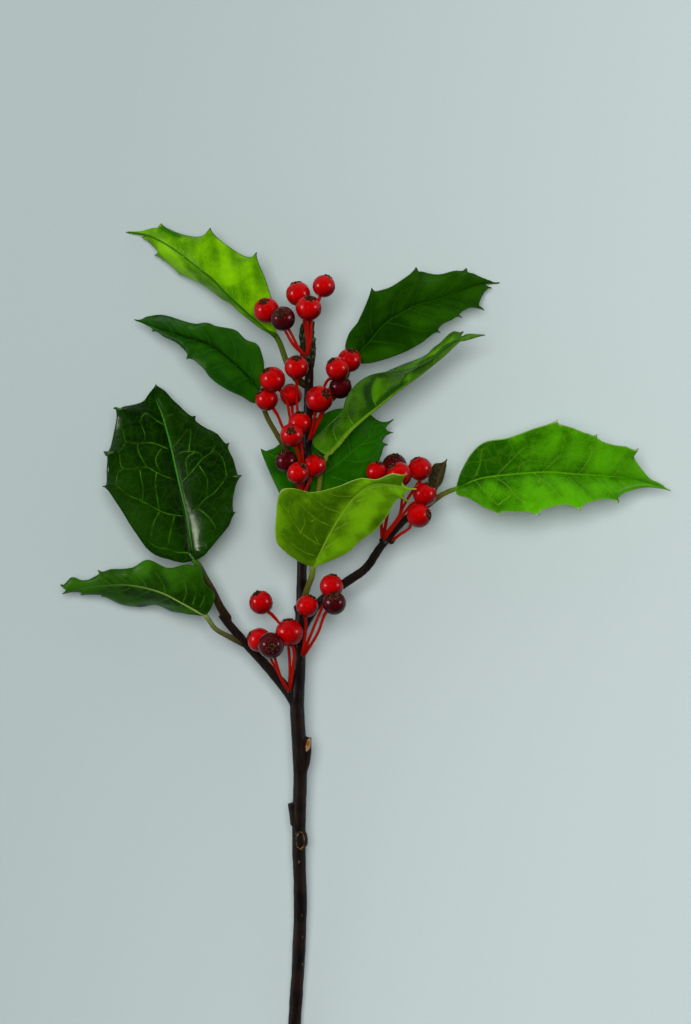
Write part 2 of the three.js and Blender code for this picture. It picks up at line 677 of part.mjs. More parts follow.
// The middle surface of a blade: rows from the left edge over the midrib to the right edge.
function bladeRows(leaf) {
  const midrib = midribOf(leaf);
  const left = edgeOf(leaf, leaf.left);
  const right = edgeOf(leaf, leaf.right);
  const rows = [];
  for (let row = 1; row < rowsOf(leaf); row++) {
    const centre = midrib.getPointAt(row / rowsOf(leaf));
    const forward = midrib.getTangentAt(row / rowsOf(leaf));
    const arched = (edge, turn) => {
      const across = edge.clone().sub(centre);
      const height = turn * BLADE_DOME * Math.min(1, across.length() / DOME_WIDTH);
      const lift = forward.clone().cross(across).normalize().multiplyScalar(height);
      return centre.clone().lerp(edge, 0.5).add(lift);
    };
    rows.push([left[row], arched(left[row], 1), centre, arched(right[row], -1), right[row]]);
  }
  return rows;
}

function bladeSolid(leaf) {
  const rows = bladeRows(leaf);
  const columns = 5;
  const rib = 2; // the column that follows the midrib
  const points = [new THREE.Vector3(), ...rows.flat(), new THREE.Vector3(...leaf.midrib.at(-1))];
  const tipIndex = points.length - 1;
  const index = (row, column) => {
    if (row < 0) {
      return 0;
    }
    return row >= rows.length ? tipIndex : 1 + row * columns + column;
  };
  const skin = [];
  const face = (a, b, c) => {
    if (a !== b && b !== c && c !== a) {
      skin.push(a, b, c);
    }
  };
  for (let row = -1; row < rows.length; row++) {
    for (let column = 0; column < columns - 1; column++) {
      const near = [index(row, column), index(row, column + 1)];
      const far = [index(row + 1, column), index(row + 1, column + 1)];
      face(near[0], near[1], far[0]);
      face(near[1], far[1], far[0]);
    }
  }
  const middle = new THREE.BufferGeometry().setFromPoints(points);
  middle.setIndex(skin);
  middle.computeVertexNormals();
  const normals = middle.getAttribute("normal");

  const upper = [];
  const lower = [];
  points.forEach((point, i) => {
    const normal = new THREE.Vector3().fromBufferAttribute(normals, i);
    const row = Math.floor((i - 1) / columns);
    const onRib = i > 0 && i < tipIndex && (i - 1) % columns === rib;
    const depth = onRib ? RIB_DEPTH * (1 - row / rows.length) : 0;
    upper.push(...point.clone().addScaledVector(normal, BLADE_THICKNESS / 2).toArray());
    lower.push(...point.clone().addScaledVector(normal, -BLADE_THICKNESS / 2 - depth).toArray());
  });

  const below = points.length;
  const faces = [...skin];
  for (let i = 0; i < skin.length; i += 3) {
    faces.push(below + skin[i], below + skin[i + 2], below + skin[i + 1]);
  }
  const wall = (a, b) => faces.push(a, below + a, below + b, a, below + b, b);
  for (let row = -1; row < rows.length; row++) {
    wall(index(row + 1, 0), index(row, 0));
    wall(index(row, columns - 1), index(row + 1, columns - 1));
  }
  const geometry = new THREE.BufferGeometry();
  geometry.setAttribute("position", new THREE.Float32BufferAttribute([...upper, ...lower], 3));
  geometry.setIndex(faces);
  return toSolid(geometry);
}

function leafMesh(leaf, keepOut) {
  const rib = vectors([[0, 0, 0], leaf.midrib[0]]).map((point) => point.addScaledVector(UP, -RIB_DEPTH));
  const stalk = [...vectors(leaf.stalk).reverse(), ...rib];
  const radii = STALK_RADII.map((radius) => radius * (leaf.stalkScale ?? 1));
  const toLeaf = placement(leaf).invert();
  const whole = join([bladeSolid(leaf), tubeSolid(stalk, radii, STALK_STEPS, STALK_SIDES)]);
  const geometry = toGeometry(whole.subtract(toSolid(keepOut.clone().applyMatrix4(toLeaf))));
  const material = new THREE.MeshStandardMaterial({ color: leaf.color, roughness: LEAF_ROUGHNESS });
  const mesh = new THREE.Mesh(geometry, material);
  mesh.name = leaf.name;
  mesh.position.set(...leaf.base);
  mesh.rotation.z = THREE.MathUtils.degToRad(leaf.heading);
  return mesh;
}

// ---------------------------------------------------------------- berries

// The dry five-pointed star at the end of a berry, its back sunk into the skin.
function crownSolid(berry, axis) {
  const corners = [];
  for (let i = 0; i < CROWN_LOBES * 2; i++) {
    const radius = CROWN_RADII[i % 2];
    const angle = (i / (CROWN_LOBES * 2)) * 2 * Math.PI;
    corners.push(new THREE.Vector2(radius * Math.cos(angle), radius * Math.sin(angle)));
  }
  const star = new THREE.Shape(corners);
  const geometry = new THREE.ExtrudeGeometry(star, { depth: CROWN_THICKNESS, bevelEnabled: false });
  geometry.applyQuaternion(new THREE.Quaternion().setFromUnitVectors(UP, axis));
  const seat = axis.clone().multiplyScalar(berry.radius - CROWN_THICKNESS * CROWN_SINK);
  geometry.translate(...seat.add(new THREE.Vector3(...berry.at)).toArray());
  return toSolid(geometry);
}

function bunchMesh(bunch, keepOut) {
  const root = new THREE.Vector3(...bunch.root);
  const solids = [ballSolid(root, KNOB_RADIUS, UP, BALL_SEGMENTS.knob)];
  for (const berry of bunch.berries) {
    const centre = new THREE.Vector3(...berry.at);
    const axis = new THREE.Vector3(...berry.crown).normalize();
    const [foot, neck] = PEDICEL_REACH.map((reach) =>
      centre.clone().addScaledVector(axis, -reach * berry.radius),
    );
    const route = [root, ...vectors(berry.stalk), neck, foot];
    solids.push(
      ballSolid(centre, berry.radius, axis, BALL_SEGMENTS.berry),
      crownSolid(berry, axis),
      tubeSolid(route, PEDICEL_RADII, PEDICEL_STEPS, PEDICEL_SIDES),
    );
  }
  const mesh = new THREE.Mesh(
    toGeometry(join(solids).subtract(toSolid(keepOut))),
    new THREE.MeshStandardMaterial(BERRY_SKIN),
  );
  mesh.name = bunch.name;
  return mesh;
}

// ---------------------------------------------------------------- the sprig

const table = tableSolid();
const keepOut = toGeometry(woodSolid(SEAT_GAP).add(table));

const stem = new THREE.Mesh(
  toGeometry(woodSolid(0).subtract(table)),
  new THREE.MeshStandardMaterial(BARK),
);
stem.name = "stem";

const sprig = new THREE.Group();
sprig.add(stem);
for (const leaf of LEAVES) {
  sprig.add(leafMesh(leaf, keepOut));
}
for (const bunch of BUNCHES) {
  sprig.add(bunchMesh(bunch, keepOut));
}

export default sprig;
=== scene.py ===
# The looks of a cut sprig of holly lying on a table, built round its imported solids.
#
# Tables and shapes are in millimetres, as in the part's own source, and MM turns them into metres.
# +Y runs along the stem to its tip, +Z is up, and every leaf has a frame of its own: +X from the
# base of the blade to its tip, +Y to the left, +Z up. Colours are sRGB codes.

import math
from collections import namedtuple

import bmesh
import bpy
import numpy as np
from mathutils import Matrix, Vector, kdtree, noise


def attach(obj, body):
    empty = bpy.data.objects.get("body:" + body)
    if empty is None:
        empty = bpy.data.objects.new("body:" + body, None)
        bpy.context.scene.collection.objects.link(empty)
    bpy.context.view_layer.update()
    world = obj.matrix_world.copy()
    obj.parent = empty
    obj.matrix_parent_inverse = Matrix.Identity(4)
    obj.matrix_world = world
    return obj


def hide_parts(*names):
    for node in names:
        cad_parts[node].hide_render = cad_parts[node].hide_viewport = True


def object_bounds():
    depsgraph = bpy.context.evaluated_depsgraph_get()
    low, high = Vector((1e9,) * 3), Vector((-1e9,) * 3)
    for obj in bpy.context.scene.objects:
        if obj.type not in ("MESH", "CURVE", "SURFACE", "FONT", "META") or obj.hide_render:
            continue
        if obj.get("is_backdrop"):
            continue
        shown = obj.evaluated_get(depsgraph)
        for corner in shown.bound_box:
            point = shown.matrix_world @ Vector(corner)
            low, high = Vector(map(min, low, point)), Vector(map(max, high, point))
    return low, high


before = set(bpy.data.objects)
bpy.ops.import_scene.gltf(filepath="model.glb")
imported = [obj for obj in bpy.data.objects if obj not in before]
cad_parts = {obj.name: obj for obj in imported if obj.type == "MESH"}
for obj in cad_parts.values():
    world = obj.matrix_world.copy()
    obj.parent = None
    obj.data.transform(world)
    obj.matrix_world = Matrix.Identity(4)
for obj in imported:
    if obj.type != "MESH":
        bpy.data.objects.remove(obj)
CAD_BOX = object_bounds()

# ---------------------------------------------------------------- driving dimensions

MM = 0.001
CURVE_STEPS = 24  # between two points of a curve

BLADE_ROWS = 168  # rows of faces from the base of a blade to its tip
HALF_COLUMNS = 26  # columns of faces from the midrib to an edge
BLADE_THICKNESS = 0.42
BLADE_DOME = 0.9  # how far each half of a blade arches between midrib and edge
DOME_WIDTH = 5  # a half narrower than this arches less
SPINE_LENGTH = 2.2  # the stretch of edge that narrows into a spine
TIP_LENGTH = 7  # the same at the leaf's own tip
SPINE_LEAN = (1.3, 0.6)  # radians between a spine and the midrib, at the base and at the tip
SPINE_SHARE = 0.6  # of the gap to its neighbour, the most that this stretch takes up
SPINE_ROOT = 0.6  # how far across the blade the pull of the spines begins
EDGE_SOFTNESS = 0.03  # share of the rows over which the edge without its spines is smoothed
NEEDLE_ROWS = (0.86, 0.95)  # from here to here the smoothed edge gives way to the edge itself
NEEDLE_TAPER = (0.6, 2)  # spines stand out this far where they begin to thin, and where they're thin
CHANNEL = (0, 0.8, 0.7)  # along the midrib: its place across, its width, its share of the length
CHANNEL_DEPTH = 0.28
PAD_REACH = 3.5  # how far from a side vein the blade has risen to its full height
PAD_ENDS = ((0.02, 0.25), (1, 0.7))  # shares across in which it rises from nothing: by midrib and edge
BASE_SHARE = 0.08  # the relief begins over this share of the length
ROLL_WIDTH = 4.5  # how far in from the edge a blade begins to roll down
RELIEF_WIDTH = (1.5, 6)  # a half narrower than the first is flat and one wider than the second is not
GRAIN_HEIGHT = 0.06  # the finest unevenness of a blade
GRAIN_SCALE = 0.25

STALK_RADII = (1.2, 0.95, 0.85, 0.8)  # a leaf's stalk, from the stem to the blade
STALK_STEPS = 30
STALK_SIDES = 12
RIB_RADII = (0.75, 0.55, 0.4, 0.28, 0.2)  # the midrib, from the base of the blade to its tip
RIB_END = 0.93
RIB_STEPS = 60
RIB_ROOT = (0.06, 0.3)  # the share of the blade over which the rib rises into it, and from how low
VEIN_STEPS = 30
VEIN_SIDES = 8
VEIN_ROWS = (0.02, 0.93)  # side veins have no ribs nearer the base or the tip than this
VEIN_WIDTHS = (0.22, 0.14, 0.08)  # of a side vein on the surface, along its length
SIDE_VEINS = 6  # on each side of a blade whose veins aren't given one by one
# A side vein from the midrib to the next one: rows ahead of its start, in its own share of the
# blade, and how far it is across the half.
VEIN_PATH = ((0.05, 0.02), (0.3, 0.25), (0.6, 0.5), (0.95, 0.7), (1.35, 0.8), (1.8, 0.72))

BERRY_FACES = (40, 56)  # rings and segments
BERRY_DIMPLES = ((0.08, 0.3), (0.05, 0.25))  # at the crown and at the stalk: depth and radians
PEDICEL_RADII = (0.72, 0.56, 0.49, 0.49, 0.62)  # a berry's stalk, from the knob to the berry
PEDICEL_REACH = 0.85  # where it ends in the berry, in radii
PEDICEL_STEPS = 40
PEDICEL_WAVES = (0.05, 0.6)  # how uneven its thickness is, and how fine that is
KNOB_RADIUS = 1.1  # where the stalks of one bunch meet
KNOB_FACES = (18, 24)
PAINTED_SHADE_WAY = (0.42, -0.87, -0.26)  # painted shade: the way towards which the berries are painted a deeper red, as on the side turned away from the light
CROWN_SHARE = 0.46  # of the berry's radius that the crown takes up
CROWN_LOBES = (5, 8)  # the fewest, and one more than the most
CROWN_SIDES = 45
CROWN_REACHES = (0.5, 1.2)  # how unlike each other its lobes are in length
CROWN_LIFTS = (0.5, 1.4)  # and in height
CROWN_RAGS = (0.85, 1.15)  # and how ragged their outline is
# Rings of the crown: share of its outline, height, and what the lobes add to that.
CROWN_RINGS = (
    (0.1, -0.12, 0), (0.28, 0.16, 0), (0.5, 0.02, 0.15), (0.75, 0.08, 0.3), (1, 0.04, 0.2), (1.02, -0.3, 0),
)
SKIN_LEVEL = 0.985  # of the berry's radius, where what lies on its skin begins
CRUMBS = 34  # of the dried flower on each berry
CRUMB_SIZES = (0.05, 0.15)
CRUMB_FACES = (6, 8)

WOOD_VOXEL = 0.32  # the stem's limbs are fused at this grain
LIMB_STEPS = 12  # cross-sections for each point of a limb's path
LIMB_SIDES = 24
LIMB_WAVES = (0.05, 0.12)
STUMP_STEPS = 10
STUMP_SIDES = 20
NODE_RADIUS = 1.45  # the swelling under each leaf's stalk
NODE_FACES = (16, 20)
BUD_START = 246  # above this the stem is rough with the scales of its end bud
BUD_BLEND = 4  # the stretch over which they begin
BARK_WRINKLES = (0.1, (1.3, 0.25, 1.3))  # height, and how fine along each axis
BUD_WRINKLES = (0.45, (1.6, 0.7, 1.6))
CUT_FACES = (12, 28)
SCAR_CRUMBS = 34
SCAR_SIZES = (0.08, 0.2)

# ---------------------------------------------------------------- the stage

STAGE_CENTRE = (0.018, 0.19, 0.02)  # metres, where the lamps point
FLOOR_HALF = 6  # metres from the middle to a side
CAMERA_PLACE = (18.17, 197.67, 1442)  # it looks straight down
WORLD_TOP = 0.05  # overhead
WORLD_SIDES = (0.15, 0.62)  # near the horizon, behind the stem's cut end and beyond its tip
WORLD_BAND = (0.4, 0.85)  # heights of the sky between which the light of the sides fades out
# Softboxes: name, place in metres, power in watts, size, colour, and whether they are there to be
# reflected or to light the part.
LAMPS = [
    ("softbox_left", (-1.65, 0.45, 0.85), 24, (0.45, 0.6), (1, 0.97, 0.95), True),
    ("softbox_right", (1.75, 0.5, 0.85), 18, (0.45, 0.6), (1, 0.97, 0.95), True),
    ("softbox_top", (-0.14, 0.56, 3.3), 83, (1.5, 1.3), (1, 1, 1), False),
]
LEAF_SHEEN = (0.92, 1, 0.8, 1)
BERRY_SHEEN = (1, 0.5, 0.62, 1)

# ---------------------------------------------------------------- the wood

# Centreline points, with the radius at even steps along the length.
LIMBS = [
    dict(
        path=[
            (0.5, -14, 2.1), (0.5, 0, 1.95), (0.5, 11, 2.2), (1, 25, 3.9), (2.5, 50, 6.7), (3, 67, 8.5),
            (2.5, 88, 11), (3, 113, 13.4), (2, 133, 15.4), (2.7, 148, 16.5), (3.5, 172, 19),
            (4, 195, 21.5), (5, 210, 23), (5.5, 225, 24.5), (6, 238, 25.6), (6.3, 252, 27),
            (6.6, 261, 27.9),
        ],
        radii=[2.3, 2.2, 2.2, 2.2, 2.2, 2.3, 2.5, 2.2, 1.7, 1.65, 1.6, 1.55, 1.2],
    ),
    dict(
        path=[
            (2, 133, 15.4), (-0.5, 137, 15.5), (-8.5, 146.5, 15.5), (-14.5, 153, 15.5), (-19, 158, 15.2),
            (-23.5, 163.5, 15),
        ],
        radii=[2.1, 1.8, 1.65, 1.55, 1.5, 1.3],
    ),
    dict(
        path=[
            (3.4, 158, 17.3), (6.5, 163.5, 18), (10.5, 168.5, 18.6), (18, 174, 19.3), (25, 179, 20),
            (29.5, 185.5, 20.1), (34.5, 191.5, 20.2), (39, 196, 20.2), (42, 198, 20.2),
        ],
        radii=[1.65, 1.6, 1.5, 1.5, 1.45, 1.35, 1.25, 1.15],
    ),
]

# Stumps of lost side shoots, bud scales and old scars.
STUMPS = [
    dict(
        path=[(3.2, 110, 13.4), (4.6, 114.5, 14), (5.2, 118, 14.6), (5.4, 122.3, 15.2)],
        radii=[1.9, 1.9, 1.6, 1.35],
    ),
    dict(
        path=[(1.6, 93, 11.4), (0.9, 97, 11.9), (0.2, 100.2, 12.3)],
        radii=[2, 1.7, 1.45],
    ),
    dict(
        path=[(3.1, 85.6, 11.2), (3.05, 87.8, 11.5), (3, 90, 11.7)],
        radii=[2.3, 2.55, 2.3],
    ),
    dict(
        path=[(3.2, 163, 18.2), (1.4, 166.5, 18.8)],
        radii=[1.5, 0.8],
    ),
    dict(
        path=[(5.4, 245, 26.3), (4.3, 251, 27), (3.8, 257, 27.9), (4.5, 261, 28.3)],
        radii=[1.6, 1.3, 1.05, 0.6],
    ),
    dict(
        path=[(6.5, 246, 26.5), (7.1, 251, 27), (7.3, 254, 27.3), (6.7, 258.5, 27.8)],
        radii=[1.4, 1.2, 1, 0.5],
    ),
]

# Where the wood shows: the pale cut of a stump and the rim of an old leaf's scar.
CUT = dict(
    centre=(5.75, 119.8, 16.3), along=(0.15, 0.93, 0.2), up=(0.55, -0.1, 0.83), size=(2.5, 0.95, 0.35),
)
SCAR = dict(centre=(3.05, 87.7, 14.0), size=(2.9, 1.35), bow=0.45)

# ---------------------------------------------------------------- the leaves

# base, heading: where the blade begins on the sprig, and which way it points, in degrees from +X.
# stalk, midrib: from there back to the stem, and on to the blade's tip. left, right: its edges.
# stalk_scale: how thick both are. tip_length: the stretch in which the edges narrow to the tip.
# An edge runs from base to tip through points where it stays smooth, and through spines, where it
# narrows to a needle.
Spine = namedtuple("Spine", "along out up")

LEAVES = [
    dict(
        name="leaf_upper_left", base=(-5, 256, 22), heading=145, stalk_scale=1.15,
        stalk=[(-3, 1.5, 0.5), (-8, 5, 2), (-13, 7.5, 3), (-18.5, 7.5, 3.5)],
        midrib=[
            (9, -0.5, 0.5), (20.5, -2, -0.5), (28.5, -3.5, -2), (35.5, -4, -4.5), (42, -4.5, -8),
            (50, -4.5, -13), (56, -3.5, -17.5), (62.5, -0.5, -22),
        ],
        left=[
            (1.5, 0, -1.5), (9, -0.5, -8), (16.5, -1, -12), (23, -0.5, -14.5), Spine(30.5, -0.5, -16),
            Spine(39.5, 1, -17.5), Spine(50, 0.5, -19.5), (49, -1, -19), Spine(57, -2, -21),
            (55, -4, -20),
        ],
        right=[
            (5, -6.5, -1), (13, -13, -2.5), Spine(21.5, -19.5, -4), (25, -16, -8), Spine(39, -17.5, -7.5),
            (42, -12, -12.5), Spine(54, -9.5, -15), (56, -6, -18),
        ],
    ),
    dict(
        name="leaf_left", base=(-10.5, 238.5, 19), heading=150,
        stalk=[(-2.5, 2.5, 0.5), (-6.5, 6.5, 1), (-15, 11.5, 2), (-20.5, 14.5, 2.5), (-28, 18, 4)],
        midrib=[
            (6, -2, 0.5), (12.5, -3.5, 1), (19, -4.5, 1), (23, -4.5, 0), (30, -3, -2), (37, -1.5, -5),
            (43.5, -0.5, -8.5), (48.5, 0.5, -11),
        ],
        left=[
            (-1, 4.5, 1), (4, 5, 4), (9, 5.5, 5.5), (15.5, 5, 5), (20.5, 3, 3), Spine(26, 3.5, 1),
            (30, 0.5, -1.5), (36.5, 0.5, -4.5), Spine(41, 1, -7.5), (45, 0, -9.5),
        ],
        right=[
            (2.5, -7.5, 4), (5.5, -11, 7), (8, -12.5, 8.5), (12, -12, 7.5), (16.5, -13, 7), (23, -11, 5),
            (26, -10.5, 4.5), (29, -8.5, 1.5), (32, -7.5, 0.5), (40.5, -5.5, -4), (45, -2.5, -8),
        ],
    ),
    dict(
        name="leaf_left_front", base=(-32.5, 181.5, 17.5), heading=103, stalk_scale=1.3, tip_length=1,
        stalk=[
            (-2.5, -1.5, -0.5), (-6.5, -2.5, -1.5), (-12, -4, -2.5), (-17, -5, -2.5), (-21.5, -6.5, -2.5),
        ],
        midrib=[
            (14.5, -1, -1), (25.5, -1, -2), (39.5, -1, -3.5), (49.5, -0.5, -5), (56.5, 0.5, -7),
            (60.5, -0.5, -10.5),
        ],
        left=[
            (0.5, 5, 1), (5, 12.5, 2.5), (14, 17, 3), (24, 20.5, 3), Spine(31, 24, 3), (36, 21.5, 0.5),
            Spine(42, 21, 2.5), (47.5, 16.5, -0.5), Spine(56, 14.5, -0.5), (55.5, 11, -3), (55.5, 5, -5),
            (57.5, 2.5, -6),
        ],
        right=[
            (0.5, -2.5, 1), (4, -8, 2.5), (8.5, -14, 3.5), Spine(12.5, -17.5, 3.5), (18.5, -18, 1),
            Spine(24, -22, 3), (30, -20.5, 1), Spine(35.5, -20.5, 1), (39.5, -17, -1), (44, -12, -3),
            Spine(47, -11.5, -3), (52.5, -6, -5), (57.5, -3, -7),
        ],
    ),
    dict(
        name="leaf_lower_left", base=(-28.5, 163, 20.5), heading=171, tip_length=1.5,
        stalk=[(-1.5, 1.5, -1), (-4, 4, -2.5), (-9.5, 6, -4.5), (-16, 8, -5.5)],
        midrib=[
            (8.5, -3, 1), (14.5, -5, 0.5), (21, -6, -1), (27.5, -6, -3), (33.5, -5, -5.5), (41.5, -3, -9),
            (49, 0.5, -12.5),
        ],
        left=[
            (5.5, 0, -3.5), (11, 0.5, -7.5), (17, -0.5, -10.5), (23, 1, -12.5), (29, 1, -13.5),
            Spine(36, -0.5, -13.5), (35.5, -1.5, -13), Spine(43, 0, -14), (42, -1.5, -13.5),
            (46.5, -1, -13),
        ],
        right=[
            (-1.5, -3.5, 0.5), (-2, -7.5, 1), (2, -11, 1.5), (4, -15.5, 2), (9, -16, 1.5), (15, -14, 0.5),
            (22, -15.5, -0.5), (27, -12, -2.5), (33.5, -10.5, -4.5), Spine(38, -9.5, -5.5),
            (39.5, -6.5, -7.5), (43, -5, -9.5), (46.5, -5.5, -10), Spine(50, -2.5, -11.5),
            (48, -2, -11.5),
        ],
    ),
    dict(
        name="leaf_upper_right", base=(19.5, 247, 20.5), heading=29,
        stalk=[(-3, -3.5, 0.5), (-7.5, -6.5, 1), (-13.5, -8, 1.5), (-20, -8, 4.5)],
        midrib=[
            (3.5, 1.5, 0), (8.5, 3, 0), (16.5, 6, -1), (23, 6.5, -2.5), (29, 6.5, -4.5), (34.5, 5, -7),
            (42.5, 4, -11), (50.5, 3, -16), (58, 0, -20.5),
        ],
        left=[
            (1.5, 5.5, 2), (5, 9, 3), (9.5, 11, 4), Spine(18.5, 18.5, 4.5), (22.5, 16, 2.5), (29, 16, 1),
            Spine(35, 17.5, -0.5), (36.5, 15, -3), (40.5, 12, -5.5), (46, 10.5, -7.5),
            Spine(50, 9.5, -10), (51.5, 6.5, -13), (55, 2.5, -17.5),
        ],
        right=[
            (7.5, -3.5, 1), (18, -5.5, 1), (24, -5.5, 0), Spine(31.5, -5.5, -2), (33, -3.5, -3.5),
            (36.5, -3.5, -4.5), Spine(40.5, -4.5, -6), (40.5, -3, -7), (45, -3, -8.5),
            Spine(48.5, -6, -10.5), (48, -3, -11.5), Spine(54.5, -0.5, -16.5), (53, 2, -16.5),
        ],
    ),
    dict(
        name="leaf_curled", base=(12, 216, 24.5), heading=38, tip_length=2,
        stalk=[
            (-2.5, -1.5, -0.5), (-6, -4, -1), (-9, -7, -2), (-14, -11.5, -2.5), (-18.5, -16.5, -3),
            (-25, -19, -4),
        ],
        midrib=[
            (4, 1, 1), (10.5, 2.5, 3), (17.5, 3, 4.5), (24, 3, 5.5), (33, 3, 6), (42.5, 2.5, 5),
            (52, 2.5, 3), (58.5, 3, 1), (62, 2.5, -0.5), (66.5, -0.5, -2.5),
        ],
        left=[
            (-0.5, 4, -2.5), (9.5, 7.5, -4), (21, 10, -4.5), (30.5, 10.5, -4.5), (39, 8.5, -4.5),
            (46, 6.5, -4), (52, 6.5, -3.5), (58.5, 7, -3), Spine(61.5, 5, -2.5), (58.5, 4, -2),
            (61.5, 3.5, -1.5),
        ],
        right=[
            (-1, 6.5, 4.5), (5, 7.5, 8.5), (13, 8.5, 12.5), (17, 11, 15.5), (22, 12.5, 17),
            (27.5, 12, 17.5), (33.5, 9, 16.5), (38.5, 6, 14.5), (46.5, 4, 10.5), (52.5, 4.5, 6.5),
            (57, 4, 3), (59.5, 2.5, 0),
        ],
    ),
    dict(
        name="leaf_behind", base=(-2, 199, 17.5), heading=40, tip_length=2,
        stalk=[(-1, -2, 0.5), (-1.5, -6, 1.5), (-1.5, -11.5, 3.5)],
        midrib=[
            (5.5, 0, 0), (13.5, 0.5, -0.5), (23, 0, -2), (32.5, 0, -4), (41, -0.5, -6.5),
            (47, -0.5, -8.5),
        ],
        left=[
            (2, 5.5, 0), (3.5, 11.5, -0.5), Spine(6.5, 20.5, -1.5), (9, 18, -2), (12.5, 17.5, -2),
            (21, 17.5, -2.5), (29, 16, -3.5), (34, 14.5, -3.5), (38, 11.5, -4.5), (41.5, 6.5, -6.5),
            (42.5, 2.5, -7.5), (44, 0.5, -8),
        ],
        right=[
            (0, -6.5, 0.5), (7, -12.5, 0), (16.5, -15.5, -1), Spine(25.5, -16, -2), (31.5, -10, -4.5),
            (36, -7, -5.5), Spine(40, -6, -6), (39.5, -3.5, -6.5), Spine(44, -4, -7.5),
            (42.5, -0.5, -7.5),
        ],
    ),
    dict(
        name="leaf_front", base=(7.5, 179.5, 25.5), heading=37, stalk_scale=1.15, tip_length=3,
        stalk=[(-2.5, -2.5, -2), (-5, -4, -3.5), (-8, -6, -5), (-11, -8, -7)],
        midrib=[
            (5, 2.5, 2.5), (11, 5.5, 5.5), (20, 9, 10.5), (27, 10.5, 14.5), (32.5, 10, 18), (37, 6, 21),
            (42.5, 0, 24.5),
        ],
        left=[
            (-2.5, 4, 1.5), (-4.5, 10.5, 4), (-4.5, 14.5, 5.5), (0.5, 21, 8.5), (6.5, 26.5, 11.5),
            (10, 25, 12.5), (14.5, 20, 13), (22, 16.5, 15), (30, 14, 18), (34, 10.5, 19.5), (39, 9, 22),
            Spine(43, 6, 23.5), (40.5, 5.5, 23), (39.5, 3.5, 23),
        ],
        right=[
            (5, -1.5, 1.5), (12, -3, 3.5), (17, -2.5, 6), (24, -2.5, 10.5), (30, -1, 14.5), (34.5, 1, 18),
            (36.5, 1, 19.5), Spine(38, -2, 21), (37.5, 1, 21),
        ],
    ),
    dict(
        name="leaf_right", base=(55, 205.5, 21), heading=-1, tip_length=3,
        stalk=[(-4.5, -2, -0.5), (-8.5, -5, -0.5), (-12.5, -8, -1)],
        midrib=[
            (4, 2, 1.5), (8, 3.5, 2), (14, 4.5, 2.5), (22.5, 5.5, 2), (31, 6, 1), (39.5, 5.5, -1),
            (51.5, 5, -4.5), (63.5, 3.5, -8.5), (72.5, 0.5, -12),
        ],
        left=[
            (1.5, 5.5, 2.5), (5, 12, 5), (9, 15.5, 6.5), (16.5, 17, 7), (24.5, 20, 7),
            Spine(33, 23.5, 7.5), (39, 20.5, 5), (43.5, 19, 3.5), Spine(46.5, 19, 4), (47.5, 17, 3),
            (52, 15.5, 1), (56, 15, 0), Spine(60.5, 14.5, -0.5), (59, 12, -2), (62, 7.5, -5),
            (65, 4.5, -7.5), (68.5, 3, -9.5),
        ],
        right=[
            (0.5, -2, 0.5), (4, -3, 2), (9, -6, 5), Spine(14.5, -9, 7), (20.5, -7.5, 6.5),
            Spine(27, -9, 8), (34.5, -5, 5.5), Spine(41, -7, 5.5), (47.5, -3, 1), Spine(54, -4, 0),
            (54.5, -1.5, -2.5), (58.5, 0.5, -5), (63.5, 1.5, -8), (67.5, 1.5, -10),
        ],
    ),
    dict(
        name="dry_bract", base=(48.5, 205.5, 17.5), heading=70, stalk_scale=0.6,
        stalk=[(-3.5, 0.5, 0), (-7, 2, -0.5), (-9.5, 3.5, 2)],
        midrib=[(3, 0.5, 0), (7, 0.5, -0.5), (10.5, 0, -1.5)],
        left=[(1, 3, -0.5), (7, 3.5, -1)],
        right=[(2.5, -1, -0.5), (8, -0.5, -1)],
    ),
]
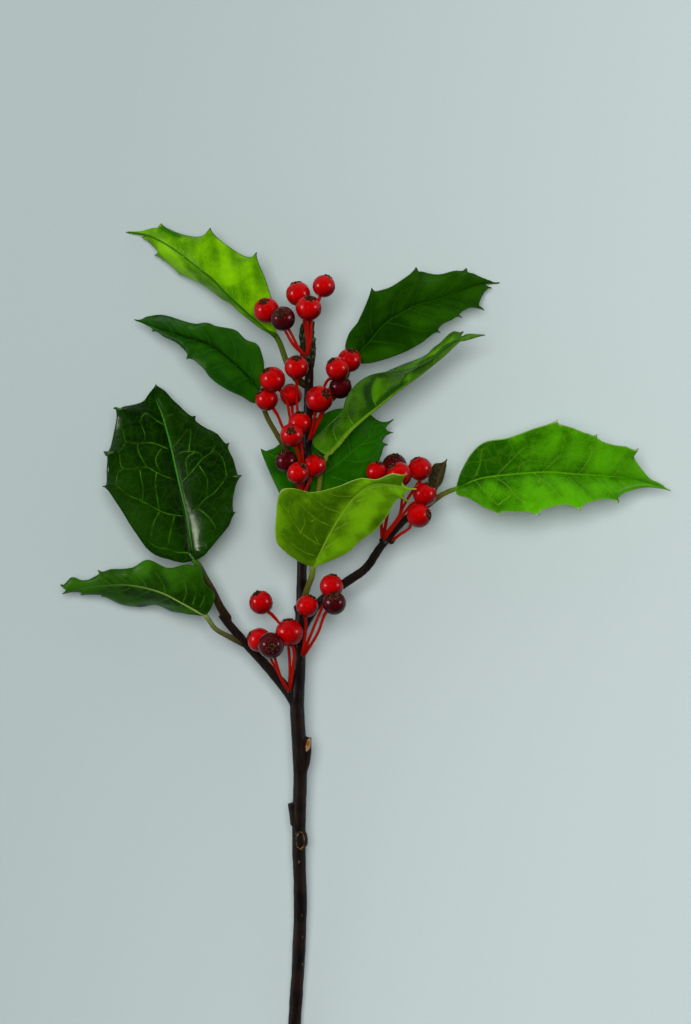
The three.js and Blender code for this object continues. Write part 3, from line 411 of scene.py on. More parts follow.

# The looks of each leaf.
# dark, light, vein, rib, rib_tip, under, edge, spine, stalk: colours; rib_tip is the outer midrib.
# rough, gloss: roughness above and below. shine: how strongly it mirrors. dull: how much of the
#   shine is lost along the outer midrib.
# pads: painted light and shade, how much lighter the pads between the veins are than the creases
#   along them. pale: how much of the under side's own colour shows. tint: how clear the side veins
#   are. net: how clear the finest veins are.
# quilt, reach: how high the blade swells between its side veins, and how far from them.
# rise: how far the midrib stands out above. ribs: how thick it is.
# rolls: where an edge rolls down: side, share of the length, spread and depth.
LOOKS = {
    "leaf_upper_left": dict(
        slot="leaf_light", dark="2a6600", light="86c804", vein="5c9c04", rib="2c6000", under="7d9c20",
        edge="2c4a18", spine="31483c", stalk="4c4e0c", rough=0.45, tint=0.0, net=0.03, quilt=-0.45,
        reach=4.5, rise=0.0, ribs=1.1,
    ),
    "leaf_left": dict(
        slot="leaf_dark", dark="103c02", light="266002", vein="2e7418", rib="061a02", under="5d7b30",
        edge="2c5030", spine="6c8a7a", stalk="4e4a14", rough=0.4, shine=0.06, tint=0.2, net=0.05,
        quilt=0.35, rise=-0.12, ribs=0.6, vein_widths=(0.22, 0.16, 0.1),
    ),
    "leaf_left_front": dict(
        slot="leaf_dark", dark="051a00", light="123600", vein="407e12", rib="3c8420", under="547528",
        edge="123408", spine="24402a", stalk="33280e", rough=0.17, shine=0.17, dull=0.92, tint=0.2,
        net=0.07, quilt=0.1, rise=-0.05, ribs=0.8, channel=(-0.2, 0.32, 0.45),
        vein_widths=(0.32, 0.24, 0.16),
        rolls=[(1, 0.66, 0.12, 1.6), (1, 0.14, 0.06, 2.4), (-1, 0.08, 0.05, -1.6), (-1, 0.4, 0.06, 0.5)],
    ),
    "leaf_lower_left": dict(
        slot="leaf_mid", dark="103000", light="326808", vein="4a8a14", rib="8aa050", rib_tip="3c6428",
        under="6c8a30", edge="305418", spine="3e5a3c", stalk="54522c", rough=0.36, shine=0.06, tint=0.12,
        net=0.05, quilt=0.5, reach=4.5, rise=0.05, ribs=0.9,
        rolls=[(1, 0.4, 0.2, 0.4), (-1, 0.4, 0.3, 0.4)],
    ),
    "leaf_upper_right": dict(
        slot="leaf_dark", dark="0e3000", light="265600", vein="2c6c10", rib="1c4c06", under="547430",
        edge="204812", spine="3c5440", stalk="4a4a10", rough=0.38, shine=0.025, tint=0.15, net=0.06,
        quilt=0.25, rise=-0.1, ribs=0.4,
    ),
    "leaf_curled": dict(
        slot="leaf_mid", dark="143c04", light="5a980a", vein="5c9a20", rib="6c9c1c", rib_tip="4c7a20",
        under="367604", edge="2c5020", spine="4c5c40", stalk="6a6420", rough=0.24, gloss=0.24, shine=0.11,
        pale=0.12, tint=0.15, net=0.04, quilt=-1.3, reach=4.5, rise=0.1, vein_widths=(0.3, 0.22, 0.14),
    ),
    "leaf_behind": dict(
        slot="leaf_dark", dark="124400", light="2a7000", vein="388014", rib="28600a", under="507828",
        edge="1c4c08", spine="2c5018", stalk="4a4a10", rough=0.4, tint=0.25, net=0.06, quilt=0.25,
        rise=-0.05, ribs=0.6,
    ),
    "leaf_front": dict(
        slot="leaf_light", dark="345c00", light="70a808", vein="90b428", rib="7ca014", under="8ca030",
        edge="a0b850", spine="8c9c54", stalk="5a5c1c", rough=0.42, tint=0.1, net=0.05, quilt=0.12,
        rise=-0.1, ribs=0.5, vein_widths=(0.2, 0.14, 0.1),
    ),
    "leaf_right": dict(
        slot="leaf_mid", dark="1c5400", light="56ac04", vein="84c82c", rib="58a010", under="70a030",
        edge="78a840", spine="a4b484", stalk="5a4820", rough=0.28, shine=0.06, tint=0.12, net=0.08,
        quilt=0.06, rise=-0.02, ribs=0.7, vein_widths=(0.2, 0.15, 0.1), rolls=[(-1, 0.5, 0.3, -0.5)],
    ),
    "dry_bract": dict(
        slot="dry_leaf", dark="1c1a10", light="3a3a20", vein="4a4428", rib="4a4024", under="2c2818",
        edge="46442a", spine="2c2818", stalk="4a4a10", rough=0.6, tint=0.4, net=0.3, quilt=0.2, rise=0.05,
    ),
}

# Side veins in hundredths: rows from base to tip, and places across, to the left edge at 100 and the
# right at -100.
VEINS = {
    "leaf_front": [
        [(16, 4), (21, 38), (26, 63), (31, 79), (36, 81)],
        [(30, 4), (32, 31), (35, 55), (38, 73)],
        [(41, 4), (41, 31), (45, 69), (47, 100)],
        [(56, 11), (54, 45), (54, 89)],
        [(9, 17), (13, 51), (17, 69), (21, 83)],
        [(68, 45), (65, 82), (64, 100)],
        [(23, 54), (28, 49), (33, 56)],
        [(19, 17), (26, 32), (33, 30)],
        [(31, 79), (33, 90)],
        [(30, 39), (36, 28), (41, 31)],
        [(16, -18), (29, -46), (39, -72)],
        [(29, -10), (42, -38), (52, -75)],
        [(41, -10), (54, -32), (66, -76)],
        [(54, -12), (66, -35), (77, -60)],
        [(65, -10), (77, -14), (88, 21)],
    ],
    "leaf_lower_left": [
        [(8, -31), (12, -69), (16, -87), (22, -78)],
        [(17, -8), (20, -36), (26, -56), (33, -78)],
        [(28, 3), (33, -26), (42, -69)],
        [(40, 3), (46, -28), (53, -59)],
        [(52, 3), (58, -35), (64, -76)],
        [(65, 2), (69, -42), (74, -100)],
        [(15, -4), (20, 42), (28, 77)],
        [(26, 9), (35, 61), (43, 81)],
        [(39, 7), (46, 38), (53, 57)],
        [(52, 9), (59, 29), (66, 38)],
        [(12, -18), (17, -58), (22, -66)],
    ],
    "leaf_upper_left": [
        [(15, -30), (20, -60), (24, -80), (31, -94)],
        [(20, -10), (28, -46), (33, -56), (39, -77)],
        [(28, -6), (33, -24), (38, -46), (43, -72), (48, -95)],
        [(43, -7), (48, -33), (51, -65), (55, -87)],
        [(51, -8), (58, -23), (65, -46), (69, -74)],
        [(62, -8), (69, -30), (74, -65)],
        [(71, -17), (75, -40), (78, -78)],
        [(12, 2), (20, 30), (24, 60)],
        [(24, 2), (31, 30), (35, 60)],
        [(36, 0), (42, 15), (45, 29), (48, 60)],
        [(49, 0), (55, 15), (57, 44)],
        [(61, 0), (67, 15), (70, 28), (72, 60)],
    ],
    "leaf_left": [
        [(7, 3), (12, -20), (17, -50), (27, -63), (34, -70)],
        [(24, -3), (32, -53), (38, -72), (45, -90)],
        [(43, -1), (49, -40), (57, -72)],
        [(57, -5), (61, -30), (67, -67), (72, -84)],
        [(70, -10), (75, -45), (79, -62), (82, -82)],
        [(10, 2), (17, 40), (24, 80)],
        [(21, 1), (29, 24), (36, 61), (40, 86)],
        [(38, 2), (43, 24), (47, 53), (52, 80)],
        [(53, 1), (59, 21), (65, 79)],
        [(67, 1), (74, 20), (78, 51)],
    ],
    "leaf_left_front": [
        [(4, 20), (11, 63), (14, 69), (17, 82), (21, 89)],
        [(25, 10), (29, 37), (33, 52), (37, 65), (41, 80), (49, 86), (51, 84), (52, 76)],
        [(44, 6), (49, 28), (52, 42), (52, 66), (53, 79), (59, 81), (65, 76)],
        [(61, 6), (64, 29), (64, 56), (65, 76), (69, 84)],
        [(74, 2), (75, 13), (78, 42), (73, 51), (68, 44), (65, 44)],
        [(64, 55), (60, 53), (52, 42)],
        [(61, 17), (55, 28), (50, 24)],
        [(52, 52), (43, 52), (36, 64)],
        [(49, 29), (42, 35), (31, 44)],
        [(30, 46), (26, 65), (22, 79)],
        [(26, 24), (23, 31), (16, 58)],
        [(25, -4), (29, -26), (34, -48), (36, -62), (41, -76), (48, -83), (53, -83), (56, -74)],
        [(43, -7), (47, -23), (53, -50), (56, -72), (59, -79)],
        [(50, -42), (43, -49), (35, -48)],
        [(61, 0), (66, -27), (70, -53)],
        [(56, -3), (58, -14), (58, -31), (56, -48), (54, -51)],
        [(58, -31), (62, -38), (70, -61)],
        [(57, -40), (54, -22), (46, -17)],
        [(76, 1), (79, -19), (80, -38)],
        [(29, -26), (26, -43), (19, -76)],
    ],
    "leaf_upper_right": [
        [(10, 0), (14, 30), (16, 60), (13, 82)],
        [(19, 0), (21, 46), (25, 73), (29, 89)],
        [(32, 0), (37, 34), (43, 62), (49, 72)],
        [(44, 1), (49, 33), (54, 56), (59, 80)],
        [(54, 1), (61, 18), (68, 42), (73, 71)],
        [(66, 0), (75, 17), (80, 42)],
        [(16, -2), (20, -39), (24, -67), (27, -88)],
        [(29, -3), (33, -38), (36, -73), (40, -90)],
        [(43, 0), (45, -37), (48, -74), (52, -90)],
        [(54, -2), (57, -49), (60, -85)],
        [(66, -3), (68, -49), (70, -74)],
    ],
    "leaf_curled": [
        [(10, -10), (16, -50), (22, -80)],
        [(21, -5), (24, -40), (29, -74), (36, -94)],
        [(35, -3), (39, -35), (44, -58), (47, -73), (49, -95)],
        [(54, -4), (58, -22), (63, -44), (68, -50), (72, -80)],
        [(69, -5), (73, -23), (78, -40), (82, -80)],
        [(82, -10), (86, -60)],
        [(12, 5), (18, 50), (22, 85)],
        [(28, 5), (34, 50), (38, 85)],
        [(45, 5), (51, 50), (54, 85)],
        [(62, 5), (68, 50), (71, 85)],
        [(76, 5), (81, 50), (84, 85)],
    ],
    "leaf_right": [
        [(7, 3), (10, 18), (14, 48), (17, 78), (18, 88)],
        [(19, 1), (25, 32), (29, 52), (33, 69)],
        [(39, 1), (43, 20), (47, 41), (48, 65), (49, 82)],
        [(55, 1), (57, 20), (59, 61), (58, 75)],
        [(71, 2), (74, 51), (75, 83)],
        [(28, 0), (30, 24), (33, 31), (39, 24)],
        [(9, 0), (14, -50), (20, -79)],
        [(18, -1), (24, -31), (29, -68), (34, -88)],
        [(35, 0), (40, -26), (44, -53), (47, -88)],
        [(49, -1), (53, -30), (59, -72)],
        [(62, 0), (66, -40), (70, -80)],
        [(20, -79), (25, -62), (27, -50), (29, -42)],
        [(38, -18), (36, -43), (34, -67)],
    ],
}

# Soft lighter and darker strokes over a blade, partly the leaf's own tone and partly painted light and
# shade: strength, radius in millimetres, and points as above.
TONE_AND_PAINTED_LIGHT = {
    "leaf_front": [
        (0.3, 2.6, (41, -78)), (-0.22, 3, (87, 40), (61, 98)), (0.18, 2.4, (22, -42)),
        (-0.35, 2.6, (15, 25)), (0.15, 2.6, (27, 74)), (0.2, 2.6, (65, -3), (82, 56)),
        (0.15, 2.6, (31, -72), (49, -71)), (-0.2, 3, (36, 88), (41, 88)), (-0.35, 9.3, (25, 31)),
        (-0.3, 4, (52, 15), (29, 14), (13, 11)), (0.15, 3, (38, 100), (19, 97)),
        (0.35, 2, (6, -10), (33, 5), (56, 11), (70, 57)), (0.3, 2.7, (41, -12), (59, -45), (85, -29)),
        (0.2, 3, (12, -44), (35, -54), (56, -69)), (-0.2, 2.3, (78, -13), (87, 76)),
        (-0.3, 2, (38, -83), (57, -90)),
    ],
    "leaf_lower_left": [
        (0.45, 2.7, (49, -72)), (0.25, 2.7, (34, -72)), (-0.35, 2.7, (22, -8), (7, -55)),
        (-0.35, 1.7, (53, 24), (28, 28)), (0.2, 1.3, (38, 74), (10, 22)), (0.15, 2, (49, 79)),
        (-0.15, 3.3, (35, -24)), (-0.2, 2.7, (13, -87)), (0.15, 2.7, (72, -26), (87, -47)),
    ],
    "leaf_upper_left": [
        (0.6, 2.8, (72, 33), (60, 45), (45, 99), (23, 49)), (0.25, 2.2, (50, -100), (43, -58), (34, -24)),
        (0.1, 1.8, (55, -79), (48, -33), (39, 8)), (0.15, 2.2, (42, -95), (28, -54), (18, -61)),
        (0.15, 2.2, (68, -60), (56, -14)), (-0.25, 1, (80, -86), (72, -69)),
    ],
    "leaf_right": [
        (0.3, 2.6, (33, -87), (42, -94), (59, -89)), (-0.12, 2.6, (20, -83)),
        (0.2, 2, (63, -53), (68, -55)), (-0.3, 3, (9, 85), (14, 88)), (-0.22, 4, (17, 26), (21, -13)),
        (-0.18, 4, (37, 89)), (0.22, 6, (59, 46), (82, -3)), (-0.15, 3, (12, 88)),
        (-0.5, 5, (7, 46), (15, 74), (23, 78)), (-0.15, 4.5, (56, 33)), (0.12, 3, (7, -34), (34, -53)),
        (0.2, 2.7, (38, -52), (55, -51)), (-0.15, 3.3, (70, -8), (85, -63)), (0.15, 2.7, (46, 68)),
    ],
    "leaf_upper_right": [
        (-0.35, 4, (18, -2), (32, -46)), (-0.15, 4, (23, 100)), (0.2, 4.7, (61, 65), (82, 3)),
        (0.2, 2.3, (35, -49), (60, -96)), (0.1, 2.7, (18, -73)),
    ],
    "leaf_left_front": [
        (0.5, 1.2, (15, -72), (11, -61)), (-0.35, 2, (74, 5), (39, 7), (10, 18)), (-0.3, 5.3, (75, 53)),
        (-0.2, 4.7, (51, -68)), (0.4, 1.3, (89, -24), (64, -5)), (0.2, 5.3, (52, 74), (33, 73)),
        (0.3, 6, (26, 90), (15, 62)), (0.35, 4, (17, -46)), (0.25, 1.7, (36, -90)), (0.2, 1.7, (69, 88)),
    ],
    "leaf_left": [
        (-0.25, 1.6, (84, -93), (77, -98)), (0.15, 2, (22, -70), (13, -71)),
        (-0.2, 3.3, (76, 78), (62, 100)), (0.2, 2.7, (18, 3)), (-0.25, 2, (38, 81), (18, 88)),
    ],
    "leaf_curled": [
        (0.4, 1.7, (25, -78), (35, -96)), (0.45, 1.3, (37, -15), (46, -61)),
        (-0.45, 1.7, (35, -21), (41, -72)), (0.4, 1.3, (56, -16), (63, -67)),
        (-0.3, 1, (23, 12), (37, -7), (51, -10)), (0.1, 1.7, (10, -58)), (-0.3, 1.7, (18, 29)),
        (0.3, 2, (80, 43), (68, 35)),
    ],
    "leaf_behind": [
        (-0.2, 3.3, (51, -28)), (0.15, 2.7, (83, 38)), (-0.2, 2.7, (20, 89)),
    ],
}

# ---------------------------------------------------------------- the bunches of berries

# Each berry has its centre, its radius, the way its crown points and the points that its stalk
# passes on the way from the bunch's root.
Berry = namedtuple("Berry", "at radius crown stalk")

BUNCHES = [
    dict(name="berries_top", root=(5.5, 249, 28), berries=[
        Berry((11, 272.5, 28), 3.8, (0.35, 0.93, -0.1), [(6.5, 254.5, 30), (7, 261, 30.5)]),
        Berry((2.5, 270, 26.5), 4.1, (-0.28, 0.96, 0.05), [(5.5, 254.5, 29.5), (4.5, 260.5, 29)]),
        Berry((6, 265, 33), 4.3, (0.1, 0.8, 0.6), [(6, 254, 30), (5.5, 259.5, 31.5)]),
        Berry((-8, 264.5, 28), 4.3, (-0.25, 0.65, 0.7), [(1, 253, 28), (-3, 259.5, 27)]),
        Berry((-2.5, 261.5, 34), 4.1, (-0.2, 0.4, 0.9), [(3, 251.5, 29), (0, 257, 30.5)]),
    ]),
    dict(name="berries_left", root=(4, 218.5, 24.5), berries=[
        Berry((2, 245.5, 32.5), 4, (-0.05, 0.78, 0.6), [(2.5, 228, 25), (2, 236.5, 27)]),
        Berry((-6, 241.5, 29.5), 4.3, (-0.5, 0.75, 0.4), [(0, 228, 25.5), (-1.5, 235, 27)]),
        Berry((-8, 235, 25), 3.8, (-0.6, 0.75, 0.25), [(-1.5, 223.5, 23.5), (-4.5, 230, 24)]),
        Berry((0, 236.5, 22), 3.7, (-0.15, 0.98, -0.1), [(1.5, 224.5, 23), (0.5, 231, 22.5)]),
    ]),
    dict(name="berries_right", root=(6, 221, 25), berries=[
        Berry(
            (19.5, 248, 26), 4, (0.15, 0.83, 0.5),
            [(9.5, 229, 25.5), (11.5, 236, 25), (15.5, 242.5, 24.5)],
        ),
        Berry(
            (15.5, 245, 32.5), 3.9, (-0.55, 0.75, 0.35),
            [(8.5, 231.5, 26), (10.5, 237.5, 26), (12.5, 241.5, 29)],
        ),
        Berry((16.5, 239, 28), 3.8, (0.65, 0.6, 0.3), [(9.5, 228, 26), (12.5, 234, 26.5)]),
        Berry((9.5, 235, 31.5), 4.5, (0.5, 0.42, 0.75), [(7, 225.5, 27), (8, 230, 28.5)]),
    ]),
    dict(name="berries_middle", root=(4, 202, 23.5), berries=[
        Berry((3, 227, 29.5), 3.9, (0.05, 0.95, 0.2), [(4, 213.5, 26), (3.5, 221.5, 28)]),
        Berry((0.5, 223, 36), 3.9, (-0.1, 0.35, 0.93), [(3.5, 212.5, 28.5), (2, 218.5, 32)]),
        Berry((-1.5, 214.5, 27), 3.7, (-0.45, 0.8, 0.4), [(2.5, 206, 24.5), (0.5, 210.5, 25.5)]),
        Berry((2.5, 210.5, 33), 3.7, (0.5, 0.65, 0.55), [(3, 206.5, 28.5)]),
        Berry((8, 213, 28.5), 3.8, (0.5, 0.85, 0.2), [(5, 205, 25.5), (6.5, 208.5, 26.5)]),
    ]),
    dict(name="berries_twig", root=(30.5, 188, 21.5), berries=[
        Berry((28.5, 211, 25), 3.5, (0.25, 0.9, 0.3), [(30, 194, 22.5), (29, 202.5, 23.5)]),
        Berry((34.5, 213, 20.5), 4.2, (0, 0.85, 0.5), [(32, 196, 21.5), (33.5, 203.5, 20.5)]),
        Berry(
            (36, 210, 29), 4.2, (-0.6, 0.75, 0.3),
            [(32.5, 191.5, 23), (36, 196.5, 24.5), (37, 202.5, 26)],
        ),
        Berry(
            (43, 212, 24), 4, (-0.5, 0.85, 0),
            [(35.5, 195.5, 23), (38.5, 201.5, 23), (41.5, 206, 22.5)],
        ),
        Berry(
            (44.5, 203.5, 25.5), 4, (0.35, 0.85, 0.35),
            [(33.5, 192, 23), (37, 196.5, 24), (40.5, 200.5, 24.5)],
        ),
    ]),
    dict(name="berry_twig_low", root=(33.5, 188, 20), berries=[
        Berry((42.5, 196.5, 28.5), 4.1, (0.8, 0.1, 0.5), [(36, 190, 22), (39.5, 192.5, 24.5)]),
    ]),
    dict(name="berries_fork", root=(-0.5, 137.5, 17), berries=[
        Berry(
            (-10, 167.5, 20), 4, (-0.4, 0.8, 0.4),
            [(-0.5, 148, 16.5), (-2, 157.5, 17), (-6, 163, 18.5)],
        ),
        Berry((-10.5, 155, 20.5), 4.1, (-0.85, 0.5, 0.05), [(-4, 143.5, 18), (-7.5, 150.5, 19)]),
        Berry((-6.5, 153.5, 29), 4.4, (0.1, -0.05, 1), [(-3, 141.5, 19), (-5, 148, 23)]),
        Berry((-0.5, 157.5, 23.5), 4.7, (-0.15, 0.97, 0.1), [(0.5, 144.5, 19), (1, 151.5, 21)]),
    ]),
    dict(name="berries_stem", root=(3.5, 149, 18), berries=[
        Berry((5.5, 166.5, 27), 3.7, (0.45, 0.85, 0.1), [(4.5, 154.5, 20), (5, 161, 23.5)]),
        Berry((13.5, 173, 24.5), 4, (0.15, 0.97, 0.05), [(6.5, 156.5, 20.5), (10.5, 166, 22.5)]),
        Berry(
            (14.5, 167.5, 30.5), 3.9, (0.1, 0.55, 0.8),
            [(6, 152.5, 19.5), (9, 157.5, 22), (11.5, 164, 25.5)],
        ),
    ]),
]

# Berries that are overripe, as places in their bunch.
OVERRIPE = {
    "berries_top": [4], "berries_right": [2], "berries_middle": [2], "berries_twig": [1],
    "berries_fork": [2], "berries_stem": [2],
}

# ---------------------------------------------------------------- curves


def resample(points, count):
    """count points at even steps of length along a polyline."""
    lengths = np.linalg.norm(np.diff(points, axis=0), axis=1)
    place = np.concatenate([[0], np.cumsum(lengths)])
    steps = np.linspace(0, place[-1], count)
    return np.stack([np.interp(steps, place, column) for column in points.T], axis=1)


def smooth_curve(points, count):
    """count points at even steps of length along a centripetal Catmull-Rom curve."""
    points = np.array(points, float)
    before, after = 2 * points[0] - points[1], 2 * points[-1] - points[-2]
    knots = np.vstack([before, points, after])
    u = np.linspace(0, 1, CURVE_STEPS, endpoint=False)[:, None]
    dense = []
    for p0, p1, p2, p3 in zip(knots, knots[1:], knots[2:], knots[3:]):
        d0, d1, d2 = (np.linalg.norm(b - a) ** 0.5 for a, b in ((p0, p1), (p1, p2), (p2, p3)))
        leave = ((p1 - p0) / d0 - (p2 - p0) / (d0 + d1) + (p2 - p1) / d1) * d1
        reach = ((p2 - p1) / d1 - (p3 - p1) / (d1 + d2) + (p3 - p2) / d2) * d1
        bow = 3 * (p2 - p1) - 2 * leave - reach
        twist = 2 * (p1 - p2) + leave + reach
        dense.append(p1 + u * leave + u**2 * bow + u**3 * twist)
    return resample(np.vstack([*dense, points[-1:]]), count)


def along(values, t):
    """Values read from a list whose entries lie at even steps of t from 0 to 1."""
    return np.interp(t, np.linspace(0, 1, len(values)), values)


def unit(v):
    return v / np.maximum(np.linalg.norm(v, axis=-1, keepdims=True), 1e-9)


def smoothstep(low, high, value):
    t = np.clip((value - low) / (high - low), 0, 1)
    return t * t * (3 - 2 * t)


def soften(values, width):
    """values smoothed over width entries, with both ends kept."""
    reach = int(3 * width)
    weights = np.exp(-0.5 * (np.arange(-reach, reach + 1) / width) ** 2)
    weights /= weights.sum()
    before = 2 * values[0] - values[reach:0:-1]
    after = 2 * values[-1] - values[-2 : -reach - 2 : -1]
    padded = np.concatenate([before, values, after])
    return np.stack([np.convolve(column, weights, "valid") for column in padded.T], axis=1)


def unevenness(points, scale, seed):
    """Smooth noise from -1 to 1 at each point."""
    shift = Vector((seed * 17.3, seed * 5.1, seed * 9.7))
    return np.array([noise.noise(Vector(point) * scale + shift) for point in points])


def seed_of(name, limit):
    """A whole number below limit that a piece's name always gives."""
    return sum(map(ord, name)) % limit


# ---------------------------------------------------------------- meshes


class Solid:
    """Vertices in millimetres and faces, gathered from simple closed forms."""

    def __init__(self):
        self.points = []
        self.faces = []
        self.materials = []
        self.values = {}
        self.count = 0

    def add(self, points, faces, material=0, **values):
        self.points.append(np.asarray(points, float))
        self.faces += [[i + self.count for i in face] for face in faces]
        self.materials += [material] * len(faces)
        for name, value in values.items():
            filled = np.broadcast_to(np.asarray(value, float), len(points))
            self.values.setdefault(name, []).append(filled)
        self.count += len(points)

    def mesh(self, name):
        mesh = bpy.data.meshes.new(name)
        mesh.from_pydata((np.vstack(self.points) * MM).tolist(), [], self.faces)
        mesh.polygons.foreach_set("material_index", self.materials)
        mesh.polygons.foreach_set("use_smooth", [True] * len(self.faces))
        for key, parts in self.values.items():
            attribute = mesh.attributes.new(key, "FLOAT", "POINT")
            attribute.data.foreach_set("value", np.concatenate(parts).astype(np.float32))
        mesh.update()
        return mesh


def add_object(name, data):
    thing = bpy.data.objects.new(name, data)
    bpy.context.scene.collection.objects.link(thing)
    return thing


def show(name, solid, materials, slot, node):
    """Puts a solid in the scene in place of a node of the frame."""
    piece = add_object(name, solid.mesh(name))
    for material in materials:
        piece.data.materials.append(material)
    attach(piece, "root")
    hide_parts(node)
    return piece


def full_turn(steps):
    return np.arange(steps) / steps * 2 * math.pi


def ring_faces(rings, sides):
    """Faces over rings of points, and fans to the two end points that come after the rings."""
    faces = []
    last = (rings - 1) * sides
    for side in range(sides):
        after = (side + 1) % sides
        for low in range(0, last, sides):
            high = low + sides
            faces.append((low + side, high + side, high + after, low + after))
        faces += [(last + sides, side, after), (last + sides + 1, last + after, last + side)]
    return faces


def tube(centres, radii, sides):
    """Points and faces of a round tube with closed ends, and how far along it each point is."""
    tangents = unit(np.gradient(centres, axis=0))
    normal = unit(np.cross(tangents[0], (0.3, 0.1, 1)))
    angles = full_turn(sides)
    rings = []
    for centre, tangent, radius in zip(centres, tangents, radii):
        normal = unit(normal - tangent * np.dot(normal, tangent))
        other = np.cross(tangent, normal)
        rings.append(centre + radius * (np.outer(np.cos(angles), normal) + np.outer(np.sin(angles), other)))
    points = np.vstack([*rings, centres[:1], centres[-1:]])
    faces = [(face[0], *face[:0:-1]) for face in ring_faces(len(centres), sides)]
    place = np.concatenate([np.repeat(np.linspace(0, 1, len(centres)), sides), [0, 1]])
    return points, faces, place


def square_to(axis):
    """The axis as a unit vector, and two more that are square to it."""
    axis = unit(np.array(axis, float))
    side = unit(np.cross(axis, (0.31, 0.22, 0.93) if abs(axis[2]) < 0.9 else (1, 0, 0)))
    return axis, side, np.cross(axis, side)


def ball(centre, axis, rings, segments, profile):
    """A body round an axis, whose surface is profile(polar angle, turn) away from the centre."""
    axis, side, other = square_to(axis)
    levels = np.linspace(0, math.pi, rings + 1)[1:-1]
    polar, turn = np.meshgrid(levels, full_turn(segments), indexing="ij")
    polar, turn = np.append(polar.ravel(), (0, math.pi)), np.append(turn.ravel(), (0, 0))
    across = np.outer(np.cos(turn), side) + np.outer(np.sin(turn), other)
    ways = np.cos(polar)[:, None] * axis + np.sin(polar)[:, None] * across
    points = centre + ways * profile(polar, turn, ways)[:, None]
    return points, ring_faces(rings - 1, segments), np.cos(polar)


def wavy(radii, centres, amount, scale, seed):
    """The radii of a tube, made uneven along it."""
    return radii * (1 + amount * unevenness(centres, scale, seed))


def lumpy(radius, amount, scale, seed):
    """The profile of an uneven ball."""
    return lambda polar, turn, ways: radius * (1 + amount * unevenness(ways, scale, seed))


# ---------------------------------------------------------------- materials


def colour(code):
    """Linear red, green, blue and alpha of an sRGB hexadecimal code."""
    values = [int(code[i : i + 2], 16) / 255 for i in (0, 2, 4)]
    return (*[v / 12.92 if v <= 0.04045 else ((v + 0.055) / 1.055) ** 2.4 for v in values], 1)


class Nodes:
    """A node tree, with short names for the kinds of node that it is put together from."""

    def __init__(self, tree):
        self.tree = tree

    def put(self, socket, value):
        if isinstance(value, bpy.types.NodeSocket):
            self.tree.links.new(value, socket)
        else:
            socket.default_value = colour(value) if isinstance(value, str) else value

    def node(self, kind, inputs, **settings):
        node = self.tree.nodes.new("ShaderNode" + kind)
        for key, value in settings.items():
            setattr(node, key, value)
        for key, value in inputs.items():
            self.put(node.inputs[key], value)
        return node.outputs

    def spot(self):
        return self.node("TexCoord", {})["Object"]

    def split(self, vector):
        return self.node("SeparateXYZ", {0: vector})

    def attribute(self, name):
        return self.node("Attribute", {}, attribute_name=name)["Fac"]

    def math(self, operation, *values):
        return self.node("Math", dict(enumerate(values)), operation=operation)[0]

    def fade(self, value, low, high, start=0, end=1):
        """start below low and end above high, smooth in between."""
        inputs = {"Value": value, "From Min": low, "From Max": high, "To Min": start, "To Max": end}
        return self.node("MapRange", inputs, interpolation_type="SMOOTHSTEP")[0]

    def mix(self, share, first, second):
        return self.node("Mix", {0: share, 6: first, 7: second}, data_type="RGBA")[2]

    def noise(self, vector, scale, detail=2, roughness=0.5):
        inputs = {"Vector": vector, "Scale": scale, "Detail": detail, "Roughness": roughness}
        return self.node("TexNoise", inputs)[0]

    def cells(self, vector, scale, feature="DISTANCE_TO_EDGE"):
        return self.node("TexVoronoi", {"Vector": vector, "Scale": scale}, feature=feature)[0]

    def stretched(self, vector, *scale):
        return self.node("Mapping", {"Vector": vector, "Scale": scale})[0]

    def shifted(self, vector, scale, amount):
        """vector moved about by noise, so that what is drawn with it wanders."""
        wander = self.node("TexNoise", {"Vector": vector, "Scale": scale, "Detail": 1})[1]
        centred = self.node("VectorMath", {0: wander, 1: (0.5, 0.5, 0.5)}, operation="SUBTRACT")[0]
        inputs = {0: centred, 1: (amount, amount, amount), 2: vector}
        return self.node("VectorMath", inputs, operation="MULTIPLY_ADD")[0]


class Shader(Nodes):
    """A material."""

    def __init__(self, name, **sockets):
        self.material = bpy.data.materials.new(name)
        self.material.use_nodes = True
        super().__init__(self.material.node_tree)
        self.surface = self.tree.nodes["Principled BSDF"].inputs
        for socket, value in sockets.items():
            self.put(self.surface[socket.replace("_", " ")], value)

    def bump(self, height, distance, strength=1.0):
        inputs = {"Height": height, "Distance": distance * MM, "Strength": strength}
        self.put(self.surface["Normal"], self.node("Bump", inputs)[0])

    def finish(self, skin, grain=None, rough=(0, 0)):
        """Colours the surface, whose roughness goes from one value to the other with the grain."""
        self.put(self.surface["Base Color"], skin)
        if grain is not None:
            self.put(self.surface["Roughness"], self.fade(grain, 0.3, 0.7, *rough))
        return self.material


def midrib_colour(shade, look, place, low, high):
    return shade.mix(shade.fade(place, low, high), look["rib"], look.get("rib_tip", look["rib"]))


